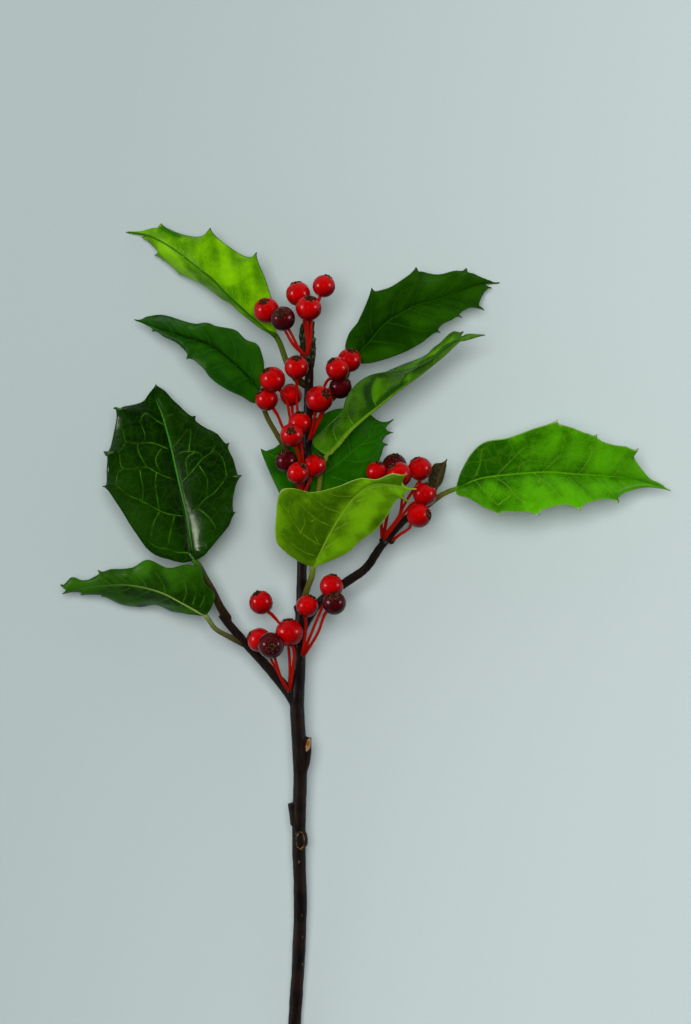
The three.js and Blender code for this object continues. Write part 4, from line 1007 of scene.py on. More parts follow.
def leaf_material(name, look, under, length):
    """A blade's skin, drawn in millimetres of the flattened blade."""
    shade = Shader(name, Specular_IOR_Level=look.get("shine", 0.04), Specular_Tint=LEAF_SHEEN)
    plan_x, plan_y, gap = (shade.attribute(key) for key in ("plan_x", "plan_y", "gap"))
    plan = shade.node("CombineXYZ", {"X": plan_x, "Y": plan_y})[0]
    ahead = shade.math("DIVIDE", plan_x, length)
    aside = shade.math("ABSOLUTE", plan_y)
    blotches = shade.noise(plan, 0.11, 3, 0.55)
    mottle = shade.noise(plan, 0.5, 3, 0.6)
    grain = shade.noise(plan, 1.6, 4, 0.7)
    wandering = shade.shifted(plan, 0.3, 2.5)
    net = shade.fade(shade.cells(wandering, 0.27), 0.0, 0.1, 1, 0)
    lace = shade.fade(shade.cells(wandering, 0.9), 0.0, 0.2, 1, 0)

    # painted light and shade: the pads between the side veins are painted lighter, the creases along the
    # veins darker
    pad = shade.fade(gap, 0.2, look.get("reach", PAD_REACH))
    tone_and_painted_light = shade.math("MULTIPLY", blotches, 0.5)
    tone_and_painted_light = shade.math("MULTIPLY_ADD", pad, look.get("pads", 0.15), tone_and_painted_light)
    tone_and_painted_light = shade.math("MULTIPLY_ADD", mottle, 0.25, shade.math("SUBTRACT", tone_and_painted_light, 0.2))
    tone_and_painted_light = shade.math("MULTIPLY_ADD", grain, 0.3, tone_and_painted_light)
    # The strokes: partly the leaf's own tone, partly painted light and shade.
    tone_and_painted_light = shade.math("ADD", tone_and_painted_light, shade.attribute("tone_and_painted_light"))
    skin = shade.mix(shade.fade(tone_and_painted_light, 0.1, 0.8), look["dark"], look["light"])
    if under:
        skin = shade.mix(look.get("pale", 0.75), skin, look["under"])
    # Each layer covers what is below it: the finest veins, the side veins, the midrib, the edge
    # and the spines.
    skin = shade.mix(shade.math("MULTIPLY", net, look["net"]), skin, look["vein"])
    skin = shade.mix(shade.math("MULTIPLY", lace, look["net"] * 0.5), skin, look["vein"])
    skin = shade.mix(shade.fade(gap, 0.1, 0.7, look["tint"] * 0.6, 0), skin, look["vein"])
    rib = midrib_colour(shade, look, ahead, 0.25, 0.75)
    skin = shade.mix(shade.fade(aside, 0.15, 0.5, 0.9, 0), skin, rib)
    skin = shade.mix(shade.fade(shade.attribute("rim"), 0.1, 0.45, 0.8, 0), skin, look["edge"])
    skin = shade.mix(shade.fade(shade.attribute("spike"), 0.35, 1.0), skin, look["spine"])

    if "dull" in look:
        dull = shade.math("MULTIPLY", shade.fade(ahead, 0.55, 0.7), shade.fade(aside, 3, 6, 1, 0))
        shine = shade.math("MULTIPLY_ADD", dull, -look["dull"] * look["shine"], look["shine"])
        shade.put(shade.surface["Specular IOR Level"], shine)
    height = shade.math("MULTIPLY_ADD", net, 0.3, shade.math("MULTIPLY_ADD", lace, 0.2, grain))
    shade.bump(height, 0.05 if under else -0.04, 0.5)
    rough = look.get("gloss", look["rough"] + 0.2) if under else look["rough"]
    return shade.finish(skin, grain, (rough - 0.05, rough + 0.08))


def vein_material(name, look):
    shade = Shader(name, Roughness=0.45, Specular_IOR_Level=0.04, Specular_Tint=LEAF_SHEEN)
    mottled = shade.noise(shade.spot(), 300, 3)
    return shade.finish(shade.mix(shade.fade(mottled, 0.35, 0.7), look["vein"], look["light"]))


def stalk_material(name, look):
    """Brown where the stalk leaves the bark, and the midrib's own colour along the blade."""
    shade = Shader(name, Specular_IOR_Level=0.08, Specular_Tint=LEAF_SHEEN)
    spot = shade.spot()
    mottled = shade.noise(spot, 500, 4)
    streaks = shade.noise(spot, 1800, 2)
    place = shade.math("MULTIPLY_ADD", mottled, 0.12, shade.attribute("place"))
    skin = shade.mix(shade.fade(place, 0.05, 0.25), "241808", look["stalk"])
    rib = midrib_colour(shade, look, place, 0.5, 0.85)
    skin = shade.mix(shade.fade(place, 0.22, 0.5), skin, rib)
    skin = shade.mix(shade.fade(streaks, 0.45, 0.75, 0, 0.4), skin, "1e1a0e")
    shade.bump(streaks, 0.05)
    return shade.finish(skin, streaks, (0.35, 0.55))


def berry_material(name, ripe, deep, flush, painted_shade):
    """A waxy skin: lighter towards the stalk, deeper in blotches and round the crown, with painted
    shade: a deeper red on the side turned away from the light."""
    shade = Shader(name, Specular_IOR_Level=0.22, Specular_Tint=BERRY_SHEEN)
    spot = shade.spot()
    blotches = shade.noise(spot, 160, 3, 0.6)
    grain = shade.noise(spot, 1500, 2)
    dots = shade.cells(spot, 900, "F1")
    pole = shade.attribute("pole")
    skin = shade.mix(shade.fade(blotches, 0.35, 0.75, 0, 0.6), ripe, deep)
    skin = shade.mix(shade.fade(pole, 0.86, 0.98, 0, 0.6), skin, deep)
    skin = shade.mix(shade.fade(pole, -0.5, -0.95, 0, 0.6), skin, flush)
    # painted shade: a deeper red on the side turned away from the light
    skin = shade.mix(shade.fade(shade.attribute("low"), -0.3, 0.75), skin, painted_shade)
    skin = shade.mix(shade.fade(dots, 0.06, 0.12, 0.25, 0), skin, flush)
    shade.bump(grain, 0.01, 0.3)
    return shade.finish(skin, grain, (0.19, 0.26))


def crown_material():
    shade = Shader("crown", Specular_IOR_Level=0.06)
    fibres = shade.noise(shade.spot(), 2600, 4, 0.7)
    shade.bump(fibres, 0.06)
    return shade.finish(shade.mix(shade.fade(fibres, 0.42, 0.62), "150904", "482a18"), fibres, (0.55, 0.85))


def bead_material():
    shade = Shader("crown_beads", Roughness=0.6, Specular_IOR_Level=0.1)
    grain = shade.noise(shade.spot(), 3000, 2)
    return shade.finish(shade.mix(shade.fade(grain, 0.35, 0.65), "4a2a16", "a87c52"))


def pedicel_material():
    shade = Shader("pedicel", Specular_IOR_Level=0.1, Specular_Tint=BERRY_SHEEN)
    spot = shade.spot()
    mottled = shade.noise(spot, 400, 3)
    grain = shade.noise(spot, 2000, 2)
    place = shade.math("MULTIPLY_ADD", mottled, 0.2, shade.attribute("place"))
    skin = shade.mix(shade.fade(place, 0.05, 0.4), "5c0a02", "9c0e04")
    skin = shade.mix(shade.fade(place, 0.85, 1.1), skin, "9c0602")
    skin = shade.mix(shade.fade(mottled, 0.5, 0.8, 0, 0.4), skin, "b8240c")
    shade.bump(grain, 0.03)
    return shade.finish(skin, grain, (0.32, 0.45))


def bark_material():
    """Thin dark bark, smooth and a little glossy, with fine lengthwise wrinkles and pale pores. The
    end bud has green scales."""
    shade = Shader("bark", Specular_IOR_Level=0.12)
    spot = shade.spot()
    wrinkles = shade.noise(shade.stretched(spot, 1, 0.12, 1), 1500, 4, 0.6)
    blotches = shade.noise(spot, 120, 3, 0.6)
    pores = shade.cells(shade.stretched(spot, 1, 0.5, 1), 420, "F1")
    pores = shade.fade(pores, 0.08, 0.16, 1, 0)
    skin = shade.mix(shade.fade(blotches, 0.35, 0.7), "0d0908", "21140f")
    skin = shade.mix(shade.fade(wrinkles, 0.5, 0.8, 0, 0.5), skin, "261913")
    skin = shade.mix(shade.math("MULTIPLY", pores, 0.4), skin, "806a52")
    bud = shade.fade(shade.split(spot)["Y"], (BUD_START - 2) * MM, (BUD_START + BUD_BLEND) * MM, 0, 0.75)
    flecks = shade.fade(shade.noise(spot, 1100, 3), 0.5, 0.68)
    skin = shade.mix(bud, skin, shade.mix(flecks, "161a08", "4c5636"))
    shade.bump(shade.math("MULTIPLY_ADD", pores, 0.8, wrinkles), 0.1)
    return shade.finish(skin, wrinkles, (0.32, 0.52))


def wood_material():
    """Raw wood, grey where it has weathered at the lower end of the cut."""
    shade = Shader("wood", Specular_IOR_Level=0.3)
    patches = shade.noise(shade.spot(), 500, 3)
    skin = shade.mix(shade.fade(patches, 0.35, 0.6), "7a4c18", "b08850")
    skin = shade.mix(shade.fade(shade.attribute("place"), 0.25, 0.0), skin, "a8aca8")
    shade.bump(patches, 0.1)
    return shade.finish(skin, patches, (0.5, 0.7))


def floor_material():
    """Pale paper with painted light: lighter to the right and towards the bottom, with a faint mottle."""
    shade = Shader("floor", Roughness=0.9, Specular_IOR_Level=0.1)
    spot = shade.spot()
    split = shade.split(spot)
    # painted light: brighter towards the lower right, as if lit more from there
    mottle_and_painted_light = shade.math("MULTIPLY_ADD", shade.noise(spot, 3, 2), 0.04, split["X"])
    mottle_and_painted_light = shade.math("MULTIPLY_ADD", split["Y"], -0.25, mottle_and_painted_light)
    return shade.finish(shade.mix(shade.fade(mottle_and_painted_light, -0.16, 0.15), "b8c6c5", "d0dddc"))


# ---------------------------------------------------------------- leaves


def share_rows(gaps, rows):
    """How many rows each stretch of an edge gets: the longest stretch gets the next one."""
    shares = np.ones(len(gaps), int)
    for _ in range(rows - len(gaps)):
        shares[np.argmax(gaps / shares)] += 1
    return shares


def edge_of(leaf, keys, midrib):
    """One edge of a blade as a point for each row, along Bezier arcs. A smooth point has its handles
    in line with each other. A spine has both back along its own axis, so that the edge narrows there."""
    tangents = unit(np.gradient(midrib, axis=0))
    stops = [(0, 0, 0), *keys, Spine(*leaf["midrib"][-1])]
    points = np.array(stops, float)
    gaps = np.linalg.norm(np.diff(points, axis=0), axis=1)
    shares = share_rows(gaps, BLADE_ROWS)
    first_row = np.concatenate([[0], np.cumsum(shares)])
    last = len(gaps)

    def handle(i, neighbour):
        gap = np.linalg.norm(points[i] - points[neighbour])
        if not isinstance(stops[i], Spine):
            chord = unit(points[i + 1] - points[max(i - 1, 0)])
            return points[i] + chord * (neighbour - i) * gap / 3
        row = first_row[i]
        axis = forward = tangents[row]
        if i < last:
            outward = points[i] - midrib[row]
            outward = unit(outward - forward * np.dot(outward, forward))
            lean = along(SPINE_LEAN, row / BLADE_ROWS)
            axis = outward * math.sin(lean) + forward * math.cos(lean)
        length = leaf.get("tip_length", TIP_LENGTH) if i == last else SPINE_LENGTH
        return points[i] - axis * min(length, gap * SPINE_SHARE)

    edge = []
    for i, share in enumerate(shares):
        u = np.linspace(0, 1, share, endpoint=False)[:, None]
        a, b, c, d = points[i], handle(i, i + 1), handle(i + 1, i), points[i + 1]
        edge.append((1 - u) ** 3 * a + 3 * (1 - u) ** 2 * u * b + 3 * (1 - u) * u**2 * c + u**3 * d)
    return np.vstack([*edge, points[-1:]])


class Blade:
    """The middle surface of a blade as a grid of points: rows from base to tip, and columns from
    the left edge over the midrib to the right edge. Each point knows its place on the flat blade."""

    def __init__(self, leaf, look):
        self.leaf, self.look = leaf, look
        self.midrib = smooth_curve([(0, 0, 0), *leaf["midrib"]], BLADE_ROWS + 1)
        self.forward = unit(np.gradient(self.midrib, axis=0))
        steps = np.linalg.norm(np.diff(self.midrib, axis=0), axis=1)
        self.station = np.concatenate([[0], np.cumsum(steps)])
        self.length = self.station[-1]
        share = np.linspace(0, 1, HALF_COLUMNS + 1)
        left = self.half(leaf["left"], share, 1)
        right = self.half(leaf["right"], share, -1)
        both = [np.concatenate([a[:, :0:-1], b], axis=1) for a, b in zip(left, right)]
        self.points, self.plan_x, self.plan_y, self.spike, self.rim, self.room = both
        self.across = np.concatenate([share[:0:-1], share]) * np.ones((BLADE_ROWS + 1, 1))
        self.gap = self.vein_gap()
        self.swell()

    def half(self, keys, share, side):
        """One half's points, their places on the flat blade, how far a spine pulls them, how far they
        are from the edge, and how much relief there is room for."""
        edge = edge_of(self.leaf, keys, self.midrib)
        plain = soften(edge, EDGE_SOFTNESS * BLADE_ROWS)
        plain += (edge - plain) * smoothstep(*NEEDLE_ROWS, np.linspace(0, 1, BLADE_ROWS + 1))[:, None]
        centre, forward = self.midrib[:, None], self.forward[:, None]
        lift = unit(np.cross(self.forward, plain - self.midrib))[:, None] * side
        t = share[None, :, None]
        pull = smoothstep(SPINE_ROOT, 1, t)
        width = np.linalg.norm(plain - self.midrib, axis=1)[:, None]
        dome = BLADE_DOME * np.minimum(1, width / DOME_WIDTH)[..., None]
        points = centre + (plain[:, None] - centre) * t + lift * 4 * t * (1 - t) * dome
        points = points + (edge - plain)[:, None] * pull
        offset = points - centre
        ahead = (offset * forward).sum(-1)
        plan_x = self.station[:, None] + ahead
        plan_y = side * np.linalg.norm(offset - forward * ahead[..., None], axis=-1)
        out = np.linalg.norm(edge - plain, axis=1) * (np.abs(edge - self.midrib) > 0).any(1)
        spike = out[:, None] * smoothstep(0.9, 1, share)[None]
        rim = np.linalg.norm(points - edge[:, None], axis=-1)
        room = smoothstep(*RELIEF_WIDTH, width) * np.ones(len(share))
        return points, plan_x, plan_y, spike, rim, room

    def vein_gap(self):
        """The distance in millimetres from each point to the nearest side vein."""
        spots = np.vstack([self.at(*path.T)[0] for path in self.vein_paths()])
        tree = kdtree.KDTree(len(spots))
        for i, spot in enumerate(spots):
            tree.insert(spot, i)
        tree.balance()
        gaps = [tree.find(point)[2] for point in self.points.reshape(-1, 3)]
        return np.array(gaps).reshape(self.across.shape)

    def swell(self):
        """Raises the blade between its side veins, sinks the channel along its midrib, and rolls
        its edge."""
        look = self.look
        normals = self.normals()
        place = (self.station / self.length)[:, None]
        inner = np.prod([smoothstep(low, high, self.across) for low, high in PAD_ENDS], axis=0)
        height = look["quilt"] * (smoothstep(0, look.get("reach", PAD_REACH), self.gap) - 0.5) * inner
        centre, width, reach = look.get("channel", CHANNEL)
        channel = np.exp(-(((self.plan_y - centre) / width) ** 2))
        channel = channel * smoothstep(reach + 0.15, reach - 0.2, place)
        height -= CHANNEL_DEPTH * channel
        seed = seed_of(self.leaf["name"], 50)
        flat = np.stack([self.plan_x.ravel(), self.plan_y.ravel(), 0 * self.plan_x.ravel()], axis=1)
        bumps = unevenness(flat, GRAIN_SCALE, seed) + 0.5 * unevenness(flat, GRAIN_SCALE * 2.5, seed + 1)
        bumps = bumps.reshape(height.shape)
        height += GRAIN_HEIGHT * bumps * inner
        turned = np.clip(1 - self.rim / ROLL_WIDTH, 0, 1) ** 2 * np.clip(1 + 0.5 * bumps, 0.5, 1.3)
        for side, row, spread, drop in look.get("rolls", ()):
            here = np.exp(-(((place - row) / spread) ** 2)) * (self.plan_y * side > 0)
            height -= drop * turned * here
        begun = smoothstep(0, BASE_SHARE, place)
        self.points = self.points + normals * (height * begun * self.room)[..., None]

    def normals(self):
        down = np.gradient(self.points, axis=0)
        over = np.gradient(self.points, axis=1)
        normals = np.cross(over, down)
        normals[0], normals[-1] = normals[1], normals[-2]
        return unit(normals)

    def at(self, row, column):
        """The surface point and its normal at a share of the rows and a share of the columns."""
        r = np.clip(row, 0, 1) * BLADE_ROWS
        c = (1 - np.clip(column, -1, 1)) * HALF_COLUMNS
        r0 = np.minimum(r.astype(int), BLADE_ROWS - 1)
        c0 = np.minimum(c.astype(int), 2 * HALF_COLUMNS - 1)
        fr, fc = (r - r0)[:, None], (c - c0)[:, None]

        def read(grid):
            near = grid[r0, c0] * (1 - fc) + grid[r0, c0 + 1] * fc
            far = grid[r0 + 1, c0] * (1 - fc) + grid[r0 + 1, c0 + 1] * fc
            return near * (1 - fr) + far * fr

        return read(self.points), unit(read(self.normals()))

    def solid(self):
        """The blade with its thickness. Faces of the under side have material 1."""
        rows, columns = self.points.shape[:2]
        index = np.zeros((rows, columns), int)
        index[1:-1] = 1 + np.arange((rows - 2) * columns).reshape(rows - 2, columns)
        index[-1] = (rows - 2) * columns + 1
        middle = HALF_COLUMNS

        def pick(grid):
            inside = grid[1:-1].reshape(-1, *grid.shape[2:])
            return np.concatenate([grid[:1, middle], inside, grid[-1:, middle]])

        points, normals = pick(self.points), pick(self.normals())
        below = len(points)
        taper = 1 - 0.5 * smoothstep(*NEEDLE_TAPER, pick(self.spike))
        offset = normals * (BLADE_THICKNESS / 2 * taper)[:, None]
        quads = np.stack([index[:-1, :-1], index[:-1, 1:], index[1:, 1:], index[1:, :-1]], axis=-1)
        upper = [list(dict.fromkeys(quad)) for quad in quads.reshape(-1, 4).tolist()]
        lower = [[below + i for i in reversed(quad)] for quad in upper]
        walls = []
        for a, b in ((index[1:, 0], index[:-1, 0]), (index[:-1, -1], index[1:, -1])):
            walls += [[i, below + i, below + j, j] for i, j in zip(a.tolist(), b.tolist())]
        grids = dict(
            plan_x=self.plan_x, plan_y=self.plan_y, spike=self.spike, rim=self.rim, gap=self.gap,
            tone_and_painted_light=self.brushed(TONE_AND_PAINTED_LIGHT.get(self.leaf["name"], ())),
        )
        values = {key: np.tile(pick(grid), 2) for key, grid in grids.items()}
        solid = Solid()
        solid.add(np.vstack([points + offset, points - offset]), upper + lower + walls, **values)
        solid.materials = [0] * len(upper) + [1] * len(lower) + [0] * len(walls)
        return solid

    def vein_paths(self):
        """The side veins, each as many rows and columns."""
        drawn = VEINS.get(self.leaf["name"])
        if drawn:
            return [self.spread(np.array(path) / 100) for path in drawn]
        starts = [(side, number + 0.35 + 0.2 * side) for side in (1, -1) for number in range(SIDE_VEINS)]
        return [
            self.spread([((start + ahead) / SIDE_VEINS, side * out) for ahead, out in VEIN_PATH])
            for side, start in starts
        ]

    def spread(self, path):
        """Even steps along a smooth path of rows and columns."""
        scale = (self.length, np.abs(self.plan_y).max())
        return smooth_curve(np.array(path) * scale, VEIN_STEPS) / scale

    def brushed(self, strokes):
        """The sum of soft strokes at each point of the blade."""
        total = np.zeros(self.across.shape)
        for strength, radius, *path in strokes:
            path = np.array(path) / 100
            spots = self.at(*(self.spread(path) if len(path) > 1 else path).T)[0]
            gaps = np.linalg.norm(self.points[:, :, None] - spots, axis=-1).min(-1)
            total += strength * np.exp(-((gaps / radius) ** 2))
        return total

    def vein_solid(self):
        """The veins as fine ribs that stand a little out of both sides of the blade."""
        widths = along(self.look.get("vein_widths", VEIN_WIDTHS), np.linspace(0, 1, VEIN_STEPS))
        solid = Solid()
        for path in self.vein_paths():
            row, column = path.T
            keep = (row > VEIN_ROWS[0]) & (row < VEIN_ROWS[1])
            if keep.sum() < 4:
                continue
            centres = resample(self.at(row[keep], column[keep])[0], VEIN_STEPS)
            points, faces, _ = tube(centres, np.hypot(BLADE_THICKNESS / 2, widths / 2), VEIN_SIDES)
            solid.add(points, faces)
        return solid

    def stalk_solid(self):
        """The stalk, and the midrib that carries it on under the blade, as one tapering rod."""
        scale = self.leaf.get("stalk_scale", 1)
        stalk = smooth_curve([*reversed(self.leaf["stalk"]), (0, 0, 0)], STALK_STEPS)[:-1]
        shares = np.linspace(0, RIB_END, RIB_STEPS)
        rib, normals = self.at(shares, 0 * shares)
        rib_radii = along(RIB_RADII, shares) * scale * self.look.get("ribs", 1)
        risen = smoothstep(0, RIB_ROOT[0], shares)
        sink = (BLADE_THICKNESS / 2 + self.look["rise"] - rib_radii) * risen - (1 - risen) * RIB_ROOT[1]
        rib = rib + normals * sink[:, None]
        steps = np.linspace(0, 1, len(stalk))
        stalk = stalk + steps[:, None] ** 2 * (rib[0] - stalk[-1])
        radii = np.concatenate([along(STALK_RADII, steps) * scale, rib_radii])
        radii = soften(radii[:, None], 2)[:, 0]
        points, faces, place = tube(np.vstack([stalk, rib]), radii, STALK_SIDES)
        solid = Solid()
        solid.add(points, faces, place=place)
        return solid


def placed(leaf, points):
    """Points of a leaf's own frame in the sprig's."""
    turn = math.radians(leaf["heading"])
    across, back = math.cos(turn), math.sin(turn)
    return points @ np.array([(across, back, 0), (-back, across, 0), (0, 0, 1)]) + leaf["base"]


def build_leaf(leaf):
    name, look = leaf["name"], LOOKS[leaf["name"]]
    blade = Blade(leaf, look)
    length = float(blade.length)
    skins = [leaf_material(name, look, False, length), leaf_material(name + "_under", look, True, length)]
    for part, solid, materials, slot in (
        ("_blade", blade.solid(), skins, look["slot"]),
        ("_veins", blade.vein_solid(), [vein_material(name + "_veins", look)], look["slot"]),
        ("_stalk", blade.stalk_solid(), [stalk_material(name + "_stalk", look)], "leaf_stalk"),
    ):
        # What touches the surface is flat there.
        lowest = (-np.inf, -np.inf, 0)
        solid.points = [np.maximum(placed(leaf, points), lowest) for points in solid.points]
        show(name + part, solid, materials, slot, name)


# ---------------------------------------------------------------- berries


def berry_form(berry, seed):
    """A round berry, a little dimpled at its crown and at its stalk."""
    (crown_depth, crown_width), (stalk_depth, stalk_width) = BERRY_DIMPLES

    def profile(polar, turn, ways):
        dimple = crown_depth * np.exp(-((polar / crown_width) ** 2))
        dimple = dimple + stalk_depth * np.exp(-(((math.pi - polar) / stalk_width) ** 2))
        lobes = 0.008 * np.cos(5 * turn) * np.exp(-((polar / 0.7) ** 2))
        return berry.radius * (0.995 - dimple + lobes + 0.012 * unevenness(ways, 1.4, seed))

    return ball(berry.at, berry.crown, *BERRY_FACES, profile)


def crown_form(berry, seed):
    """The dry remains of the flower: a low ragged star with a pit in its middle."""
    axis, side, other = square_to(berry.crown)
    random = np.random.default_rng(seed)
    lobes = random.integers(*CROWN_LOBES)
    reaches = random.uniform(*CROWN_REACHES, lobes)
    lifts = random.uniform(*CROWN_LIFTS, lobes)
    turns = full_turn(CROWN_SIDES)
    place = turns / (2 * math.pi) * lobes
    lobe = place.astype(int) % lobes
    ridge = (1 - np.abs((place % 1 - 0.5) * 2)) ** 0.7
    outline = CROWN_SHARE * berry.radius * (0.5 + 0.5 * ridge * reaches[lobe])
    outline = outline * random.uniform(*CROWN_RAGS, CROWN_SIDES)
    lift = ridge * lifts[lobe]
    spread = np.outer(np.cos(turns), side) + np.outer(np.sin(turns), other)
    rings = []
    for share, height, more in CROWN_RINGS:
        out = outline * share
        up = np.sqrt(berry.radius**2 - out**2) * SKIN_LEVEL + height + more * lift
        rings.append(berry.at + spread * out[:, None] + axis * up[:, None])
    points = np.vstack([*rings, rings[0].mean(0)[None], rings[-1].mean(0)[None]])
    return points, ring_faces(len(rings), CROWN_SIDES)


def bead_forms(berry, seed):
    """Crumbs of the dried flower in and round the crown."""
    axis, side, other = square_to(berry.crown)
    radius = berry.radius
    random = np.random.default_rng(seed + 100)
    for i in range(CRUMBS):
        turn = random.uniform(0, 2 * math.pi)
        out = random.uniform(0.02, 1) ** 0.5 * 0.5 * radius
        size = random.uniform(*CRUMB_SIZES)
        up = math.sqrt(radius**2 - out**2) * SKIN_LEVEL + (0.22 if out < 0.3 * radius else 0.04)
        spot = axis * up + (side * math.cos(turn) + other * math.sin(turn)) * out
        yield ball(berry.at + spot, axis, *CRUMB_FACES, lumpy(size, 0.4, 1.5, i))


def build_bunch(bunch, skins):
    """The berries of a bunch, their crowns, and the stalks that meet in a knob at its root."""
    name = bunch["name"]
    red, dark, crowns, beads, stalks = (Solid() for _ in range(5))
    for i, berry in enumerate(bunch["berries"]):
        berry = berry._replace(at=np.array(berry.at, float))
        seed = i + seed_of(name, 40)
        points, faces, pole = berry_form(berry, seed)
        # painted shade: how far each point lies towards the side that is painted a deeper red
        low = (points - berry.at) @ np.array(PAINTED_SHADE_WAY) / berry.radius
        skin = dark if i in OVERRIPE.get(name, []) else red
        skin.add(points, faces, pole=pole, low=low)
        crowns.add(*crown_form(berry, seed))
        for points, faces, _ in bead_forms(berry, seed):
            beads.add(points, faces)
        back = unit(unit(np.array(berry.stalk[-1]) - berry.at) - unit(np.array(berry.crown, float)))
        foot = berry.at + back * berry.radius * PEDICEL_REACH
        centres = smooth_curve([bunch["root"], *berry.stalk, foot], PEDICEL_STEPS)
        radii = wavy(along(PEDICEL_RADII, np.linspace(0, 1, PEDICEL_STEPS)), centres, *PEDICEL_WAVES, seed)
        points, faces, place = tube(centres, radii, STALK_SIDES)
        stalks.add(points, faces, place=place)
    points, faces, _ = ball(bunch["root"], (0, 0, 1), *KNOB_FACES, lumpy(KNOB_RADIUS, 0.2, 2.2, 3))
    stalks.add(points, faces, 1, place=0)
    for part, solid, slot, materials in (
        ("_red", red, "berry_skin", [skins["red"]]),
        ("_dark", dark, "berry_dark", [skins["dark"]]),
        ("_crowns", crowns, "crown", [skins["crown"]]),
        ("_beads", beads, "crown", [skins["bead"]]),
        ("_stalks", stalks, "pedicel", [skins["pedicel"], skins["bark"]]),
    ):
        if solid.count:
            show(name + part, solid, materials, slot, name)


# ---------------------------------------------------------------- the stem


def build_stem(bark):
    """The limbs, stumps and swellings, fused into one skin and wrinkled."""
    solid = Solid()
    for limb in LIMBS:
        count = LIMB_STEPS * len(limb["path"])
        centres = smooth_curve(limb["path"], count)
        radii = wavy(along(limb["radii"], np.linspace(0, 1, count)), centres, *LIMB_WAVES, 5)
        solid.add(*tube(centres, radii, LIMB_SIDES)[:2])
    for stump in STUMPS:
        radii = along(stump["radii"], np.linspace(0, 1, STUMP_STEPS))
        solid.add(*tube(smooth_curve(stump["path"], STUMP_STEPS), radii, STUMP_SIDES)[:2])
    for leaf in LEAVES:
        root = placed(leaf, np.array(leaf["stalk"][-1], float))
        solid.add(*ball(root, (0, 1, 0), *NODE_FACES, lumpy(NODE_RADIUS, 0.1, 2, 7))[:2])
    piece = show("stem_bark", solid, [bark], "bark", "stem")
    fuse = piece.modifiers.new("fuse", "REMESH")
    fuse.mode = "VOXEL"
    fuse.voxel_size = WOOD_VOXEL * MM
    settle = piece.modifiers.new("settle", "SMOOTH")
    settle.iterations = 4
    settle.factor = 0.5
    fused = bpy.data.meshes.new_from_object(piece.evaluated_get(bpy.context.evaluated_depsgraph_get()))
    piece.modifiers.clear()
    piece.data = fused
    fused.polygons.foreach_set("use_smooth", [True] * len(fused.polygons))

    def wrinkle(spot, height, scales):
        return height * noise.noise(Vector([c * scale for c, scale in zip(spot, scales)]))

    form = bmesh.new()
    form.from_mesh(fused)
    for vertex in form.verts:
        spot = vertex.co / MM
        rough = min(max((spot.y - BUD_START) / BUD_BLEND, 0), 1)
        height = wrinkle(spot, *BARK_WRINKLES) + rough * wrinkle(spot, *BUD_WRINKLES)
        vertex.co += vertex.normal * height * MM
        vertex.co = [min(max(c, low), high) for c, low, high in zip(vertex.co, *CAD_BOX)]
    form.to_mesh(fused)
    form.free()


def build_wood():
    """The cut face of the right stump, and the crumbly rim of the scar below it."""
    wood = Solid()
    lengthwise, up = unit(np.array(CUT["along"])), unit(np.array(CUT["up"]))
    sideways = unit(np.cross(lengthwise, up))
    axes = np.array([lengthwise, sideways, np.cross(sideways, lengthwise)])
    points, faces, _ = ball((0, 0, 0), (0, 0, 1), *CUT_FACES, lumpy(1, 0.08, 2, 4))
    cut = points @ (axes * np.array(CUT["size"])[:, None]) + CUT["centre"]
    wood.add(cut, faces, place=(points[:, 0] + 1) / 2)
    random = np.random.default_rng(11)
    length, width = SCAR["size"]
    for i in range(SCAR_CRUMBS):
        turn = i / SCAR_CRUMBS * 2 * math.pi + random.uniform(-0.08, 0.08)
        spread = random.uniform(0.9, 1.08)
        rim = (width * spread * math.cos(turn), length * spread * math.sin(turn), 0)
        spot = np.array(SCAR["centre"]) + rim
        spot[2] -= SCAR["bow"] * math.cos(turn) ** 2
        size = random.uniform(*SCAR_SIZES)
        wood.add(*ball(spot, (0, 0, 1), *CRUMB_FACES, lumpy(size, 0.3, 2, i))[:2], place=0.5)
    show("stem_wood", wood, [wood_material()], "bark", "stem")


# ---------------------------------------------------------------- the studio


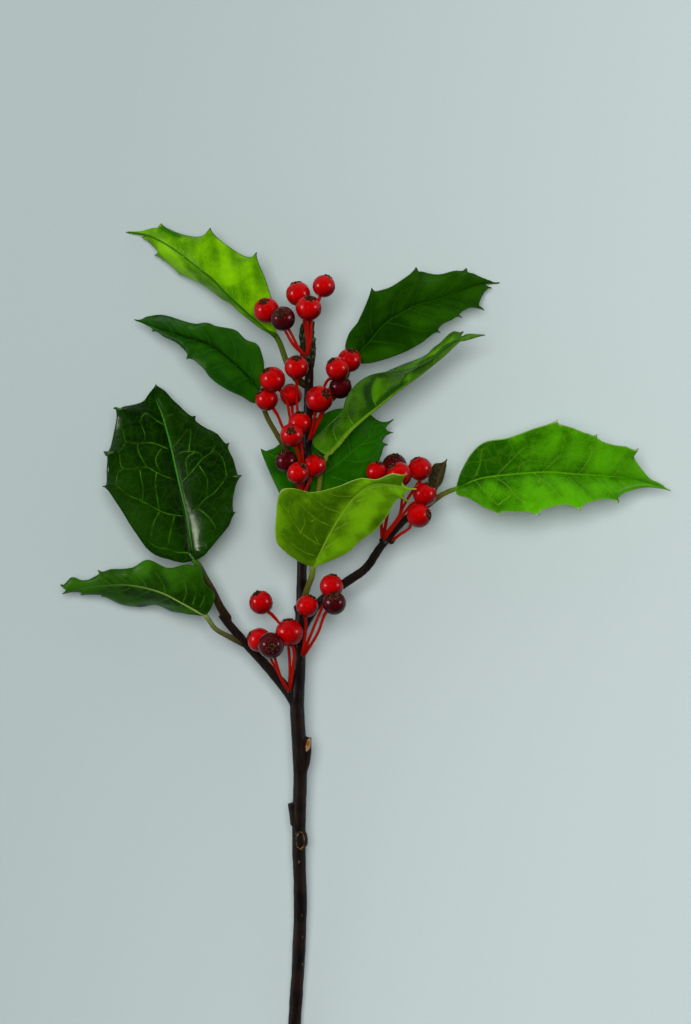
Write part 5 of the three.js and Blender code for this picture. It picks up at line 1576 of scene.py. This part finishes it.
def build_world():
    """A room that is dim overhead and brighter all round, most of all towards the sprig's tip."""
    world = bpy.data.worlds.new("studio")
    world.use_nodes = True
    sky = Nodes(world.node_tree)
    way = sky.split(sky.node("TexCoord", {})["Generated"])
    ahead = sky.math("MULTIPLY_ADD", way["X"], -0.4, way["Y"])
    sides = sky.fade(ahead, -0.9, 1.0, *WORLD_SIDES)
    height = sky.fade(way["Z"], *WORLD_BAND, 1, 0)
    background = world.node_tree.nodes["Background"].inputs
    sky.put(background["Color"], (0.93, 0.98, 1, 1))
    sky.put(background["Strength"], sky.math("MULTIPLY_ADD", sides, height, WORLD_TOP))
    bpy.context.scene.world = world


def build_floor():
    mesh = bpy.data.meshes.new("floor")
    half = FLOOR_HALF
    corners = [(-half, -half, 0), (half, -half, 0), (half, half, 0), (-half, half, 0)]
    mesh.from_pydata(corners, [], [(0, 1, 2, 3)])
    mesh.materials.append(floor_material())
    add_object("floor", mesh)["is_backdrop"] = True


def build_lamp(name, place, power, size, tint, reflected):
    lamp = bpy.data.lights.new(name, "AREA")
    lamp.energy = power
    lamp.color = tint
    lamp.shape = "RECTANGLE"
    lamp.size, lamp.size_y = size
    holder = add_object(name, lamp)
    holder.location = place
    holder.visible_glossy = reflected
    holder.visible_diffuse = not reflected
    aim = Vector(STAGE_CENTRE) - Vector(place)
    holder.rotation_euler = aim.to_track_quat("-Z", "Y").to_euler()


def build_camera():
    lens = bpy.data.cameras.new("camera")
    lens.lens = 150
    lens.sensor_width = 36
    lens.clip_end = 20
    camera = add_object("camera", lens)
    camera.location = Vector(CAMERA_PLACE) * MM
    bpy.context.scene.camera = camera


build_world()
build_floor()
for lamp in LAMPS:
    build_lamp(*lamp)
build_camera()
bpy.context.scene.view_settings.view_transform = "Standard"

bark = bark_material()
for leaf in LEAVES:
    build_leaf(leaf)
berry_skins = dict(
    # The last colour of each berry skin is painted shade, for the side turned away from the light.
    red=berry_material("berry_red", "c20202", "860002", "cc0a04", "5e0002"),
    dark=berry_material("berry_overripe", "4c0408", "22040a", "8c1012", "1c0206"),
    crown=crown_material(),
    bead=bead_material(),
    pedicel=pedicel_material(),
    bark=bark,
)
for bunch in BUNCHES:
    build_bunch(bunch, berry_skins)
build_stem(bark)
build_wood()

visual_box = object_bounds()
boxes = {"cad": CAD_BOX, "visual": visual_box}
{key: [list(corner) for corner in box] for key, box in boxes.items()}
